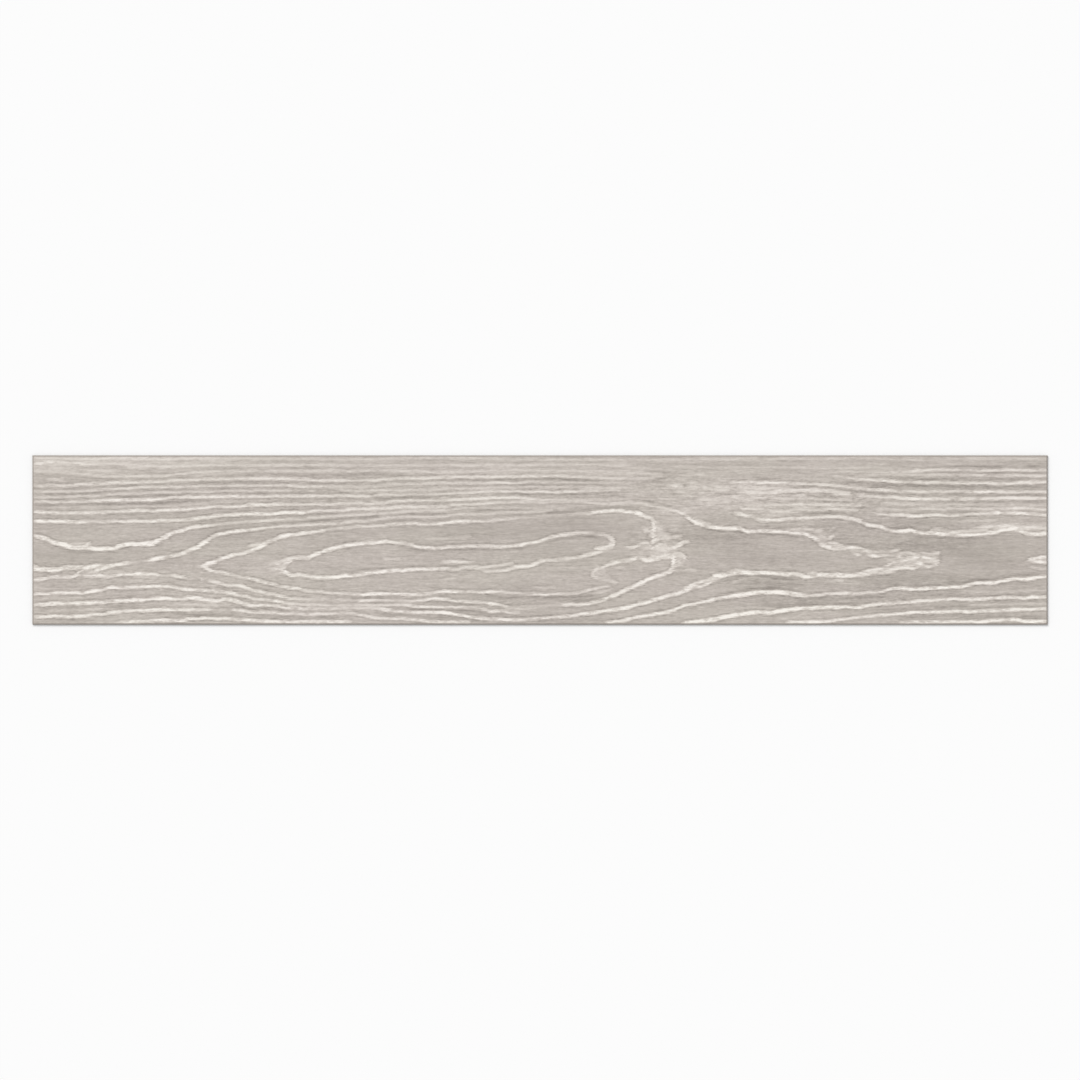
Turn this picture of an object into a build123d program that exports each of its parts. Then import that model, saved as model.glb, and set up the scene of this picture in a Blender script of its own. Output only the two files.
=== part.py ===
from build123d import *
import os

# Wood look vinyl floor tile of the glue-down kind: one flat laminated sheet, die cut to a
# plank, with a narrow bevel round its wear face. Units are millimetres.
# The origin is the centre of the underside. +X runs along the plank, +Y across it, and +Z up
# out of the wear face.

# Driving dimensions
plank_length = 914.4  # 36 inches, along the grain
plank_width = 152.4  # 6 inches, across the grain
plank_gauge = 2.5  # from the underside to the wear face
bevel_width = 1.0  # how far the bevel reaches in over the face
bevel_depth = 0.6  # how far it reaches down the cut edge, past the wear layer and the print

with BuildPart() as plank:
    # The blank: the sheet, punched square through its whole gauge
    with BuildSketch() as die_cut:
        Rectangle(plank_length, plank_width)
    extrude(amount=plank_gauge)

    # The bevel: the rim of the wear face is planed off all round, and mitres at the corners.
    # Below it a square land is left, where the next tile butts against this one.
    wear_face = plank.faces().sort_by(Axis.Z)[-1]
    chamfer(wear_face.edges(), length=bevel_width, length2=bevel_depth, reference=wear_face)

plank.part.label = "plank"

os.makedirs("parts", exist_ok=True)
export_step(plank.part, "parts/plank.step")
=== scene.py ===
# %% [markdown]
# A plank of wood look vinyl floor tile is one sheet of filled vinyl with a printed face. The
# print shows pale grey-beige oak whose growth rings have been brushed open and rubbed with
# white lime. A clear wear layer is pressed over the print, and its embossing follows the
# rings. The rim of the face is planed to a narrow bevel and painted, and the underside is left
# plain for the glue.
#
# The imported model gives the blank: its length, width, gauge and bevel. This lesson puts the
# real surface on it: the rings as true relief, the print, the painted bevel, the cut edge and
# the backing.

import math
from collections import namedtuple

import bmesh
import bpy
import numpy as np
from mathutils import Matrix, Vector, noise


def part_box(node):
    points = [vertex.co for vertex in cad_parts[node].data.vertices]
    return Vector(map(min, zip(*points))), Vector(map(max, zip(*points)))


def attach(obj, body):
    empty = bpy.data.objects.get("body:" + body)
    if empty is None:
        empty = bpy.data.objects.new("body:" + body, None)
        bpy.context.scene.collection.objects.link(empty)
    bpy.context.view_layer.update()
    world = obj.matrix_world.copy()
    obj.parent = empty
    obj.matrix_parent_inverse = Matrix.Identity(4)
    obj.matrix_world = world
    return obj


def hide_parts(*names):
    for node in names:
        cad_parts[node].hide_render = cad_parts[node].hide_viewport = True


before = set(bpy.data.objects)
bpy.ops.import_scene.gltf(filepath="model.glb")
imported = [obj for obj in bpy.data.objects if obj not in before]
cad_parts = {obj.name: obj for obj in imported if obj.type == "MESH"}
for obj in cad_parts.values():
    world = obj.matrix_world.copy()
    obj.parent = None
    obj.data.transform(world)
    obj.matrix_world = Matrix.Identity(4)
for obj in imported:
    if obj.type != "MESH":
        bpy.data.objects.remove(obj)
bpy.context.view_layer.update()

# %% [markdown]
# Every size comes from the blank itself. Its origin is the middle of the underside, so the
# highest corner of its box is half the length, half the width and the gauge. Its own corners lie
# at three heights: the underside, the foot of the bevel and the wear face. The bevel's width is
# how far the wear face's corners stand in from the rest.

# %% Measure the blank
MM = 0.001
SAME_HEIGHT = 0.01 * MM  # corners that are closer in height than this lie in one plane

lowest, highest = (Vector(corner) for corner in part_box("plank"))
print("the underside is at", lowest.z)
corners = [corner.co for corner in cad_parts["plank"].data.vertices]
heights = sorted({round(corner.z / MM, 4) for corner in corners})
half_length = highest.x
half_width = highest.y
gauge = highest.z
land_height = heights[-2] * MM
face_corners = [corner for corner in corners if corner.z > gauge - SAME_HEIGHT]
face_corner = max(face_corners, key=lambda corner: corner.x + corner.y)
face_half_length = face_corner.x
face_half_width = face_corner.y
print("half length, half width, gauge", half_length, half_width, gauge)
print("foot of the bevel", land_height, "face corner", face_half_length, face_half_width)

# %% [markdown]
# The photograph looks straight down on the plank, with its length across the picture.
# A camera far above with a long lens sees the plank almost without perspective, so the bevels
# of both ends look alike. Blender's camera looks down its own -Z with +Y up in the picture, so
# it needs no turning.

# %% The camera
CAMERA_HEIGHT = 6.0
SHARE_OF_PICTURE = 0.94  # how much of the picture's width the plank takes

camera_data = bpy.data.cameras.new("camera")
camera_data.sensor_width = 36.0
picture_width = 2 * half_length / SHARE_OF_PICTURE
camera_data.lens = camera_data.sensor_width * (CAMERA_HEIGHT - gauge) / picture_width
camera = bpy.data.objects.new("camera", camera_data)
camera.location = (0, 0, CAMERA_HEIGHT)
bpy.context.collection.objects.link(camera)
bpy.context.scene.camera = camera
print("lens", round(camera_data.lens, 1), "mm")

# %% [markdown]
# Shader maths reads best as plain sums. A `Wire` holds one output of a node, and Python's own
# operators on it add the Math nodes. The reflected forms are there too, so that `1 - mask` works
# as well as `mask - 1`.


# %% A wire between nodes
class Wire:
    """One output of a shader node, on which arithmetic adds Math nodes"""

    def __init__(self, shader, socket):
        self.shader = shader
        self.socket = socket

    def __add__(self, other):
        return self.shader.maths("ADD", self, other)

    __radd__ = __add__

    def __sub__(self, other):
        return self.shader.maths("SUBTRACT", self, other)

    def __rsub__(self, other):
        return self.shader.maths("SUBTRACT", other, self)

    def __mul__(self, other):
        return self.shader.maths("MULTIPLY", self, other)

    __rmul__ = __mul__


# %% [markdown]
# Every node comes from `Shader.node`, which sets the node's settings first and then the value or
# the link of each socket. What the plank's finishes need again and again has a short name of its
# own: a soft step, a blend of two colours, a relief that is too fine for the mesh, and the end
# of the chain, which is what Blender renders.


# %% The nodes of a shader
def fill_ramp(ramp, stops):
    while len(ramp.elements) < len(stops):
        ramp.elements.new(1.0)
    for element, (position, colour) in zip(ramp.elements, stops):
        element.position = position
        element.color = colour


class Shader:
    """The nodes of one material, or of the world"""

    def __init__(self, owner):
        owner.use_nodes = True
        self.name = owner.name
        self.tree = owner.node_tree
        self.tree.nodes.clear()

    def node(self, kind, settings=None, values=None, output=0):
        made = self.tree.nodes.new("ShaderNode" + kind)
        for name, setting in (settings or {}).items():
            if name == "stops":
                fill_ramp(made.color_ramp, setting)
            else:
                setattr(made, name, setting)
        for name, value in (values or {}).items():
            if isinstance(value, Wire):
                self.tree.links.new(value.socket, made.inputs[name])
            else:
                made.inputs[name].default_value = value
        return Wire(self, made.outputs[output]) if made.outputs else None

    def maths(self, operation, a, b):
        return self.node("Math", {"operation": operation}, {0: a, 1: b})

    def step(self, value, start, end):
        """Rises smoothly from 0 to 1 while value goes from start to end"""
        sockets = {"Value": value, "From Min": start, "From Max": end}
        return self.node("MapRange", {"interpolation_type": "SMOOTHSTEP"}, sockets)

    def blend(self, factor, a, b, how="MIX"):
        """Colour a where factor is 0, and where it is 1 colour b, or with MULTIPLY a times b"""
        # The Mix node's sockets 6 and 7 and its output 2 are those for colours
        settings = {"data_type": "RGBA", "blend_type": how}
        return self.node("Mix", settings, {0: factor, 6: a, 7: b}, output=2)

    def relief(self, height, strength=1.0):
        """The normal of a surface that rises by height, in millimetres"""
        return self.node("Bump", values={"Height": height, "Distance": MM, "Strength": strength})

    def end_with(self, surface, output="OutputMaterial"):
        self.node(output, values={"Surface": surface})
        print(self.name, "has", len(self.tree.nodes), "nodes")


# %% [markdown]
# A colour is easiest to choose on a screen, as three numbers from 0 to 255. A screen doesn't show
# light in proportion to them, but Blender's sockets hold plain light, so each number goes back
# through the screen's own curve. Its numbers are the usual ones for every screen.


# %% Colours
def colour(red, green, blue):
    """A colour as it is read off a screen, from 0 to 255, as the light it stands for"""
    shares = [channel / 255 for channel in (red, green, blue)]
    light = [c / 12.92 if c <= 0.04045 else ((c + 0.055) / 1.055) ** 2.4 for c in shares]
    return (*light, 1.0)


print("mid grey on a screen is", round(colour(128, 128, 128)[0], 3), "of full light")

# %% [markdown]
# Plain studio light keeps the colours honest. A broad sun lamp from the upper left is as bright
# at one end of a long plank as at the other, and it shades the relief a little. The world fills
# in from all round. The two add up to a level at which a surface facing up renders about as its
# colour is written.

# %% The light
SUN_SHARE = 0.42  # of the light on the floor, and the world gives the rest
SUN_HEIGHT = math.radians(48)
SUN_BEARING = math.radians(125)  # anticlockwise from +X
SUN_BREADTH = math.radians(35)
LIGHT_LEVEL = 1.0

sun_data = bpy.data.lights.new("sun", "SUN")
sun_data.angle = SUN_BREADTH
sun_data.energy = LIGHT_LEVEL * SUN_SHARE * math.pi / math.sin(SUN_HEIGHT)
sun = bpy.data.objects.new("sun", sun_data)
sun.rotation_euler = (0, math.pi / 2 - SUN_HEIGHT, SUN_BEARING)
bpy.context.collection.objects.link(sun)

bpy.context.scene.view_settings.view_transform = "Standard"
print("sun", round(sun_data.energy, 3))

# %% [markdown]
# The world's own light is weaker than white, so that the sun and the world together aren't too
# much. The nodes ask of each ray where it comes from: the camera's own rays, and those off a
# shiny surface or through a clear one, see full white, and all others get the weaker light.

# %% The world
world = bpy.data.worlds.new("studio")
bpy.context.scene.world = world
air = Shader(world)
camera_rays = air.node("LightPath", output="Is Camera Ray")
glossy_rays = air.node("LightPath", output="Is Glossy Ray")
clear_rays = air.node("LightPath", output="Is Transmission Ray")
seen = air.maths("MAXIMUM", air.maths("MAXIMUM", camera_rays, glossy_rays), clear_rays)
fill_level = LIGHT_LEVEL * (1 - SUN_SHARE)
strength = seen * (1.0 - fill_level) + fill_level
glow = air.node("Background", values={"Color": colour(255, 255, 255), "Strength": strength})
air.end_with(glow, "OutputWorld")
print("light from all round", round(fill_level, 3))

# %% [markdown]
# The floor is a wide matt sheet, nearly white, that keeps the plank's soft shadow. It lies a
# hair below the underside, so that the two faces never share a plane.

# %% The floor
FLOOR_SIZE = 40.0
FLOOR_GAP = 0.05 * MM

floor_mesh = bpy.data.meshes.new("floor")
bm = bmesh.new()
bmesh.ops.create_grid(bm, x_segments=1, y_segments=1, size=FLOOR_SIZE / 2)
bmesh.ops.translate(bm, verts=bm.verts, vec=(0, 0, -FLOOR_GAP))
bm.to_mesh(floor_mesh)
bm.free()
floor = bpy.data.objects.new("floor", floor_mesh)
bpy.context.collection.objects.link(floor)
floor_paint = bpy.data.materials.new("floor_paint")
ground = Shader(floor_paint)
ground.end_with(ground.node("BsdfDiffuse", values={"Color": colour(252, 252, 252)}))
floor_mesh.materials.append(floor_paint)
print("floor", FLOOR_SIZE, "m wide, mm below the plank:", round(FLOOR_GAP / MM, 3))

# %% [markdown]
# The figure is what makes this plank itself. Its rings run nearly straight along the top edge,
# meet in long V tips on the left, close round an island in the middle, curl round a knot right
# of it and sweep away in broad bands to the right end. Noise alone can't draw that, so each ring
# is a smooth curve through given points, in millimetres from the plank's centre.
#
# A ring has a whiteness, from 0 for bare wood to 1 for packed white lime, and a width. Where the
# lime is worn unevenly along it, the whiteness is a list of values, spread evenly over its
# points from the first to the last. A list as long as the route gives each point its own.

# %% What a ring is
Ring = namedtuple("Ring", "white width route")

rings = []


def ring(white, width, *route):
    rings.append(Ring(white, width, route))


# %% [markdown]
# Along the edge of a flat sawn board the rings stand steep in the wood, so they show as nearly
# straight lines. These are the plainest of the plank, with thin lime in them and wide gaps
# between them, and long routes with few bends are enough.

# %% The straight rings along the top edge
ring((0.5, 0.6, 0.35, 0.3, 0.45, 0.3, 0.4, 0.3), 1.8,
     (-457, 73.8), (-430, 73.6), (-400, 73), (-385, 73.8), (-340, 73), (-305, 73.6), (-240, 73.4),
     (-190, 72.8), (-130, 73.4), (-90, 74), (-50, 73.6), (0, 72.6), (60, 72.4), (120, 72.6),
     (180, 73), (235, 73.2), (300, 73.6), (340, 72.6), (385, 73.6), (457, 72.8))
ring((0.65, 0.7, 0.4, 0.45, 0.5, 0.35, 0.4, 0.3), 2.0,
     (-457, 68.4), (-440, 70.4), (-425, 70), (-410, 68.2), (-400, 68.6), (-385, 68.8), (-370, 68),
     (-340, 66), (-315, 66.8), (-290, 67.4), (-190, 67.6), (-150, 67.2), (-70, 67.4), (-20, 67.5),
     (40, 68.2), (64, 67.2), (86, 67.5))
ring((0.2, 0.3, 0.25, 0.3), 1.5,
     (120, 66.4), (145, 65.5), (160, 65.4), (200, 65.8), (250, 65), (290, 65.2), (320, 65))
ring((0.4, 0.5, 0.5, 0.4, 0.5, 0.4, 0.4, 0.3), 1.9,
     (-457, 62), (-420, 60.5), (-395, 57.6), (-350, 57.8), (-333, 58.2), (-315, 60.8), (-290, 61.6),
     (-250, 62.3), (-190, 62.4), (-118, 62.3), (-95, 61.4), (-75, 61.5), (-40, 62.6), (-22, 63.2),
     (5, 62.4), (60, 61.8), (95, 59.9), (110, 59.8))
ring((0.3, 0.55, 0.3), 2.0, (-444, 54), (-437, 54.6), (-430, 54.4))
ring((0.3, 0.6, 0.6, 0.65, 0.6), 1.9,
     (262, 62), (318, 60.8), (332, 61.4), (345, 63.2), (375, 63.3), (392, 62.6), (410, 62.8),
     (428, 63.6), (440, 62.8), (457, 63))
ring((0.3, 0.5, 0.6, 0.75, 0.55, 0.7), 1.9,
     (285, 58.6), (330, 58.8), (360, 58.8), (395, 58.6), (405, 58.2), (413, 58), (430, 58.6),
     (440, 58), (457, 57.6))
print(len(rings), "rings so far")

# %% [markdown]
# Further in, the rings lie closer together, and their left ends hold more lime. Where the width
# of a ring changes for good, it is laid as two rings that share a point.

# %% The rings below the top edge
ring((0.55, 0.8, 0.65, 0.6, 0.7, 0.75, 0.6, 0.65, 0.7, 0.5, 0.3), 2.0,
     (-457, 48.9), (-427, 49.2), (-413, 50.2), (-400, 50.8), (-390, 51.3), (-372, 51.9),
     (-345, 52.6), (-330, 53.4), (-318, 54.1), (-305, 54.7), (-290, 55), (-265, 55.3), (-250, 55.5),
     (-225, 55.3), (-215, 54.6), (-200, 53.8), (-178, 53.6), (-152, 53.8), (-141, 54.8),
     (-125, 55.5), (-100, 56), (-85, 56.8), (-50, 57), (-22, 57.4), (-7, 57.6), (20, 57.6),
     (35, 57), (52, 56.2), (73, 55.3), (95, 55.5), (110, 57))
ring((0.5, 0.5, 0.65, 0.6, 0.5, 0.7, 0.7), 1.7,
     (-457, 43.8), (-415, 44), (-400, 45), (-388, 45.9), (-378, 46.3), (-360, 47.6), (-345, 47.9),
     (-320, 48.3), (-300, 48.8), (-270, 49), (-250, 49.2), (-224, 49.2), (-221, 48.3), (-197, 48.3))
ring((0.3, 0.35, 0.25, 0.45, 0.45, 0.7, 0.5, 0.4, 0.3), 1.6,
     (-197, 48.3), (-170, 48), (-152, 48.6), (-143, 48.7), (-137, 50), (-115, 50.6), (-100, 51.2),
     (-60, 51.3), (-40, 51.6), (-22, 51.4), (-12, 52.4), (6, 52.2), (30, 51.7), (75, 51.6))
ring((0.4, 0.55, 0.45, 0.5, 0.4), 1.6,
     (-457, 38.6), (-430, 39), (-412, 39.7), (-400, 40), (-386, 41.1), (-360, 41.9), (-345, 43),
     (-320, 43.2), (-300, 43.4), (-278, 44.2), (-250, 44.6), (-224, 44.8))
ring((0.25, 0.5, 0.3, 0.45, 0.35, 0.4, 0.2), 1.6,
     (-182, 44.7), (-157, 44.7), (-141, 45), (-118, 44.9), (-103, 45.6), (-76, 46.6), (-55, 46.8),
     (-20, 47.8), (20, 48), (33, 47.8), (60, 46.8), (73, 46.6))
ring((0.5, 0.75, 0.6, 0.65, 0.9, 0.95, 0.7, 0.6, 0.75, 0.9, 0.65, 0.7, 0.6), 2.0,
     (-457, 34.6), (-447, 34.9), (-440, 34.2), (-427, 34.2), (-413, 34.6), (-400, 35.4), (-385, 36),
     (-360, 36.1), (-345, 36.8), (-335, 38), (-325, 38.9), (-312, 38.6), (-300, 39.1), (-277, 39.2),
     (-250, 39.3), (-235, 39.7), (-200, 39.7), (-152, 39.8))
ring((0.55, 0.4, 0.45, 0.65, 0.65, 0.7, 0.6, 0.4), 1.8,
     (-152, 39.8), (-141, 40.7), (-118, 41), (-100, 41.2), (-76, 42.4), (-60, 43.2), (-50, 44),
     (-22, 43.8), (-8, 43.9), (12, 43.4), (33, 43.6), (36, 44.6), (46, 44.6), (72, 44.9))
ring(0.25, 1.4, (-440, 29.8), (-400, 29.4), (-345, 30.8), (-320, 31.6), (-300, 33))
print(len(rings), "rings so far")

# %% [markdown]
# The last long rings before the arches are the whitest of these. Their lime is packed at the
# left end and thins out as they rise to the right.

# %% The white rings above the arches
ring((0.9, 0.9, 0.75, 0.7, 0.75, 0.9, 0.75, 0.8, 0.85, 0.85, 0.6), 2.1,
     (-457, 25.8), (-447, 25), (-440, 24.6), (-428, 24.1), (-400, 24.9), (-373, 26), (-362, 26.6),
     (-347, 26.3), (-333, 27.4), (-318, 27.9), (-303, 29.4), (-290, 30.2), (-268, 30.4),
     (-262, 31.6), (-250, 31.6), (-236, 32.4), (-224, 32))
ring((0.6, 0.7, 0.4, 0.65, 0.6, 0.7, 0.65, 0.8, 0.75, 0.6, 0.4, 0.3), 1.8,
     (-224, 32), (-200, 32.2), (-183, 32.4), (-172, 33.2), (-152, 32.7), (-141, 33.8), (-130, 34.9),
     (-115, 35.8), (-90, 35.9), (-74, 36.3), (-52, 37.9), (-40, 38.2), (-22, 38.2), (-8, 37),
     (10, 36), (45, 36.4), (73, 37))
ring((1.0, 0.95, 0.9, 0.9, 0.4, 0.75, 0.85, 0.7, 0.8, 0.85, 0.75, 0.85, 0.85, 0.9, 0.95, 1.0), 2.3,
     (-457, 17), (-440, 16.9), (-430, 16.7), (-418, 16.4), (-413, 16.3), (-408, 16.6), (-395, 16.7),
     (-370, 17), (-350, 17.1), (-340, 17.7), (-333, 17.6), (-318, 18.4), (-303, 20.2), (-290, 21.9),
     (-278, 22.9), (-266, 23.3), (-258, 24), (-250, 23.4), (-240, 23.4), (-234, 24.6), (-213, 24.8))
ring((0.9, 0.65, 0.7, 0.65, 0.6, 0.75, 0.6, 0.6, 0.65, 0.4, 0.35, 0.45, 0.5), 1.9,
     (-213, 24.8), (-200, 26.5), (-183, 26.1), (-170, 28.2), (-160, 28), (-141, 29), (-130, 29.6),
     (-115, 30), (-95, 30.1), (-75, 31.6), (-50, 32.6), (-42, 33.8), (-20, 34), (20, 34.1),
     (36, 34.9), (48, 33.2), (61, 32.3))
print(len(rings), "rings so far")

# %% [markdown]
# In the middle of a flat sawn board the saw cuts across the crowns of the rings, and they show
# as long pointed arches that lie on their side, the V tips. The two largest have their tips near
# the left end, and their upper arms rise slowly to the right. The lime in them changes from
# strand to strand, so each point of these rings has its own whiteness.

# %% The upper arms of the large arches
ring((0.9, 0.95, 0.75, 1.0, 1.0, 0.95, 1.0, 0.85, 0.85, 1.0, 0.9, 0.95, 0.7, 0.95, 1.0, 1.0, 1.0,
      0.8, 0.95, 1.0, 0.55, 0.8, 1.0, 0.75, 0.85), 3.0,
     (-457, 4.6), (-448, 2), (-442, -0.4), (-438, -2.4), (-430, -4), (-424, -6), (-417, -7.4),
     (-411, -6.4), (-404, -7.4), (-399, -8.2), (-392, -7.8), (-387, -7), (-384, -7.8), (-378, -5),
     (-371, -3.6), (-362, -3.6), (-349, -3), (-344, -0.6), (-339, 2), (-335, 4.2), (-332, 6.4),
     (-328, 7.8), (-321, 8.8), (-317, 11), (-307, 12.1))
ring((0.85, 0.5, 0.55, 0.6, 0.5, 0.4, 0.45, 0.5, 0.4, 0.5, 0.45, 0.35, 0.3, 0.2), 1.7,
     (-307, 12.1), (-290, 14.2), (-278, 15.4), (-265, 16.6), (-250, 17.6), (-238, 18), (-228, 18.6),
     (-208, 19), (-197, 21.2), (-183, 21.6), (-170, 22.4), (-157, 23.2), (-141, 24), (-129, 25),
     (-115, 26.3), (-89, 26.8), (-75, 28), (-50, 28.5), (-20, 28.6), (15, 29.5))
ring((0.5, 0.9, 0.7), 2.0, (-414, -5.6), (-409, -4.2), (-406, -2.8))
ring((0.9, 1.0, 0.95, 1.0, 0.8, 0.4, 0.25, 0.45, 1.0, 0.95, 0.9, 0.2, 0.2, 0.8, 0.95, 0.75, 0.4,
      0.8, 1.0, 0.95, 1.0, 0.9, 0.6, 0.6, 0.9, 0.95, 1.0, 0.85), 2.4,
     (-401, -28.2), (-396, -26), (-390, -24), (-382, -22.4), (-375, -21.2), (-370, -20.6),
     (-360, -19.2), (-354, -18.4), (-350, -17.8), (-346, -17), (-342, -15.8), (-338, -15.4),
     (-334, -15), (-331, -14.2), (-325, -12.8), (-321, -12), (-318, -10), (-315, -8.4),
     (-310, -7.6), (-306, -4.6), (-302, -1.6), (-299, 0.4), (-296, 2.4), (-293, 4), (-290, 5),
     (-280, 6.8), (-271, 7.8), (-264, 8.8))
ring((0.85, 0.65, 0.6, 0.6, 0.7, 0.55, 0.35, 0.5, 0.4, 0.45, 0.4, 0.35, 0.45, 0.3), 1.8,
     (-264, 8.8), (-250, 10.7), (-238, 12), (-220, 12.9), (-205, 14), (-190, 14.9), (-182, 14.4),
     (-170, 16.8), (-157, 17), (-141, 19.6), (-129, 20.6), (-100, 21), (-89, 21.2), (-75, 23.2),
     (-50, 23.6), (-34, 25), (-8, 25.2), (10, 26.6))
print(len(rings), "rings so far")

# %% [markdown]
# At the left end the arms come together in a braid of short strands. The strands are laid one by
# one, because noise wouldn't cross over like this.

# %% The braid at the left end
ring((1.0, 1.0, 1.0, 0.85, 0.95, 0.9, 1.0, 0.8), 3.1,
     (-457, -25.2), (-452, -26.2), (-445, -26.4), (-438, -27), (-433, -26.4), (-429, -25),
     (-423, -24.8), (-415, -24.6))
ring((0.7, 0.5), 2.0, (-457, -22.6), (-453, -23.4))
ring((0.8, 1.0, 0.9, 0.7, 0.3), 2.6,
     (-413, -26), (-408, -24.8), (-402, -23.4), (-397, -22.8), (-391, -23.2))
ring((0.4, 0.75, 0.85), 2.0, (-409, -29.6), (-404, -28.6), (-400, -28))
ring((1.0, 0.85, 0.9, 1.0, 0.7, 0.8, 0.85, 0.9, 1.0, 0.5), 2.2,
     (-457, -36), (-450, -35.4), (-443, -34.2), (-439, -33.4), (-434, -33), (-425, -33.2),
     (-420, -33), (-416.5, -31), (-414.6, -28.6), (-413, -27.6))
ring((0.6, 0.8, 0.95, 0.7, 0.8, 0.8, 0.9, 0.85, 1.0, 0.85, 0.8, 0.2, 0.15, 0.8, 0.8, 0.6), 2.1,
     (-412, -32), (-404, -32.8), (-398, -31.8), (-392, -33.2), (-387, -33), (-384, -31.8),
     (-376, -31), (-370, -30.6), (-362, -30.4), (-355, -30.6), (-346, -30.8), (-342, -31.8),
     (-335, -32), (-331, -31.8), (-325, -33), (-319, -33.6))
ring(0.35, 1.6, (-366, -33.2), (-356, -33.4), (-346, -33.8))
ring(0.35, 1.6, (-392, -29.4), (-384, -28.2), (-376, -28.4))
print(len(rings), "rings so far")

# %% [markdown]
# Below the braid, long rings run in from the left end, and the lowest comes off the bottom edge.
# They rise a little and then sink again, packed with lime, and thin ones lie between them.

# %% The long rings of the bottom left
ring((0.8, 0.85, 0.8, 0.9, 0.85, 1.0, 1.0, 0.85, 0.55, 0.6, 1.0, 0.95, 0.6, 0.75, 0.7, 0.8, 1.0,
      0.9, 0.85, 0.75, 0.85, 0.95, 0.75, 1.0, 0.8, 0.9, 0.8, 0.95, 0.4, 0.95, 0.85, 0.7, 0.6, 0.3,
      1.0, 0.75, 0.6, 0.5, 0.4), 2.1,
     (-457, -49), (-448, -48.4), (-440, -47.8), (-430, -47.4), (-414, -47.6), (-410, -47.2),
     (-403, -46.4), (-399, -45), (-394, -45.6), (-391.5, -43.6), (-388, -43), (-384, -43),
     (-379, -43), (-373, -43.1), (-367, -42.3), (-361, -41.8), (-355, -41.4), (-345, -41.6),
     (-336, -41.4), (-332, -41.8), (-326, -43), (-317, -44.4), (-310, -44.6), (-303, -45.4),
     (-295, -46.2), (-285, -46.8), (-279, -47.6), (-275, -48.6), (-270, -49.8), (-266, -50.4),
     (-262, -51.6), (-256, -53), (-248, -53.4), (-243, -54), (-238, -55), (-232, -56.2),
     (-224, -57.6), (-208, -57.8), (-190, -59))
ring((0.95, 1.0, 0.95, 0.75, 0.9, 0.95, 1.0, 1.0, 0.95, 0.85, 1.0, 0.9, 0.9, 0.8, 1.0, 1.0, 0.7,
      0.8, 1.0, 0.95, 0.95, 0.9, 0.85, 0.95, 0.95, 0.9, 0.85, 0.8, 0.85, 1.0), 2.5,
     (-457, -58.4), (-448, -58), (-440, -57.4), (-435, -57), (-428, -57.3), (-415, -56.9),
     (-405, -56.4), (-392, -56), (-385, -54.8), (-376, -54.8), (-368, -54.2), (-363, -54.2),
     (-358, -54.1), (-350, -53.3), (-346, -52.7), (-334, -52.5), (-328, -53.2), (-320, -53.2),
     (-317, -51.8), (-310, -52.4), (-303, -53.6), (-291, -55), (-287, -53.6), (-282, -53),
     (-276, -54.4), (-270, -56.4), (-265, -57.2), (-260, -59), (-254, -59.2), (-250, -58.8))
ring((0.95, 0.7, 0.4, 0.7, 0.85, 0.6, 0.85, 0.6, 0.55, 0.45, 0.7, 0.85, 1.0), 2.0,
     (-250, -58.8), (-245, -58.6), (-240, -59), (-235, -60), (-229, -61.2), (-223, -61),
     (-215, -61.8), (-205, -61.8), (-195, -61.8), (-170, -61.1), (-145, -61.6), (-141, -62.2),
     (-135, -63.4))
ring((0.8, 0.85, 1.0, 0.8, 0.95, 0.9, 0.9, 0.8, 0.9, 0.8, 0.4, 0.9, 0.85, 1.0, 0.95, 0.8, 0.95,
      0.75, 0.8, 0.6, 0.7, 0.3, 0.35, 0.7, 0.85, 0.85, 0.7, 0.6, 0.9, 0.85, 0.85, 0.7, 0.55, 0.7,
      0.75, 0.6, 0.6, 0.8, 0.75, 0.7, 0.8, 0.8, 0.7), 2.1,
     (-457, -69.4), (-447, -69), (-438, -68.6), (-428, -69), (-415, -68.6), (-408, -68),
     (-401, -67), (-392, -66.4), (-386, -65.2), (-380, -65), (-377, -64.4), (-372, -63.6),
     (-365, -63.6), (-359, -63.8), (-350, -63), (-343, -62.6), (-335, -62.6), (-325, -63),
     (-316, -62.6), (-307, -62.8), (-300, -62.4), (-296, -62.6), (-280, -63), (-276, -63),
     (-268, -63.4), (-264.6, -63.8), (-261, -65), (-254, -65), (-249, -64.8), (-240, -65),
     (-236, -65.6), (-229, -66.8), (-222, -66), (-210, -66.8), (-199, -66.6), (-188, -66.2),
     (-170, -66), (-157, -68.2), (-148, -70.4), (-124, -70.8), (-101, -73), (-88, -73.6),
     (-64, -73.8))
ring(0.3, 1.7, (-445, -63.8), (-420, -63), (-396, -62))
ring(0.35, 1.6, (-457, -53.2), (-444, -52.8))
ring(0.3, 1.7, (-332, -57.8), (-312, -58), (-290, -59.6))
ring((0.4, 0.85, 0.95, 0.9, 1.0, 0.95, 0.4, 1.0, 0.85, 1.0, 0.8, 0.95, 0.8, 0.9, 0.9, 0.8, 0.95,
      0.85, 0.85, 0.95, 0.8, 0.95, 0.85, 0.4), 2.2,
     (-382, -74.2), (-371, -73.8), (-360, -73.2), (-353, -73.2), (-347, -72.6), (-336, -72),
     (-332.6, -72.6), (-328, -72.6), (-321, -72.4), (-317, -70.8), (-310, -71), (-304, -70.2),
     (-297, -70.6), (-286, -70.8), (-278, -70.4), (-272, -72), (-264, -72), (-256, -72.2),
     (-250, -73.2), (-237, -73.3), (-225, -73.6), (-200, -73.4), (-180, -73.4), (-170, -73.2))
print(len(rings), "rings so far")

# %% [markdown]
# Two more arches lie one inside the other, with their tips at the left and their arms opening
# towards the middle of the plank. Each is laid as an upper and a lower arm that start at the tip,
# so that every arm has its own lime. The tip of the outer one is about 150 mm from the left end.

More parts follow.
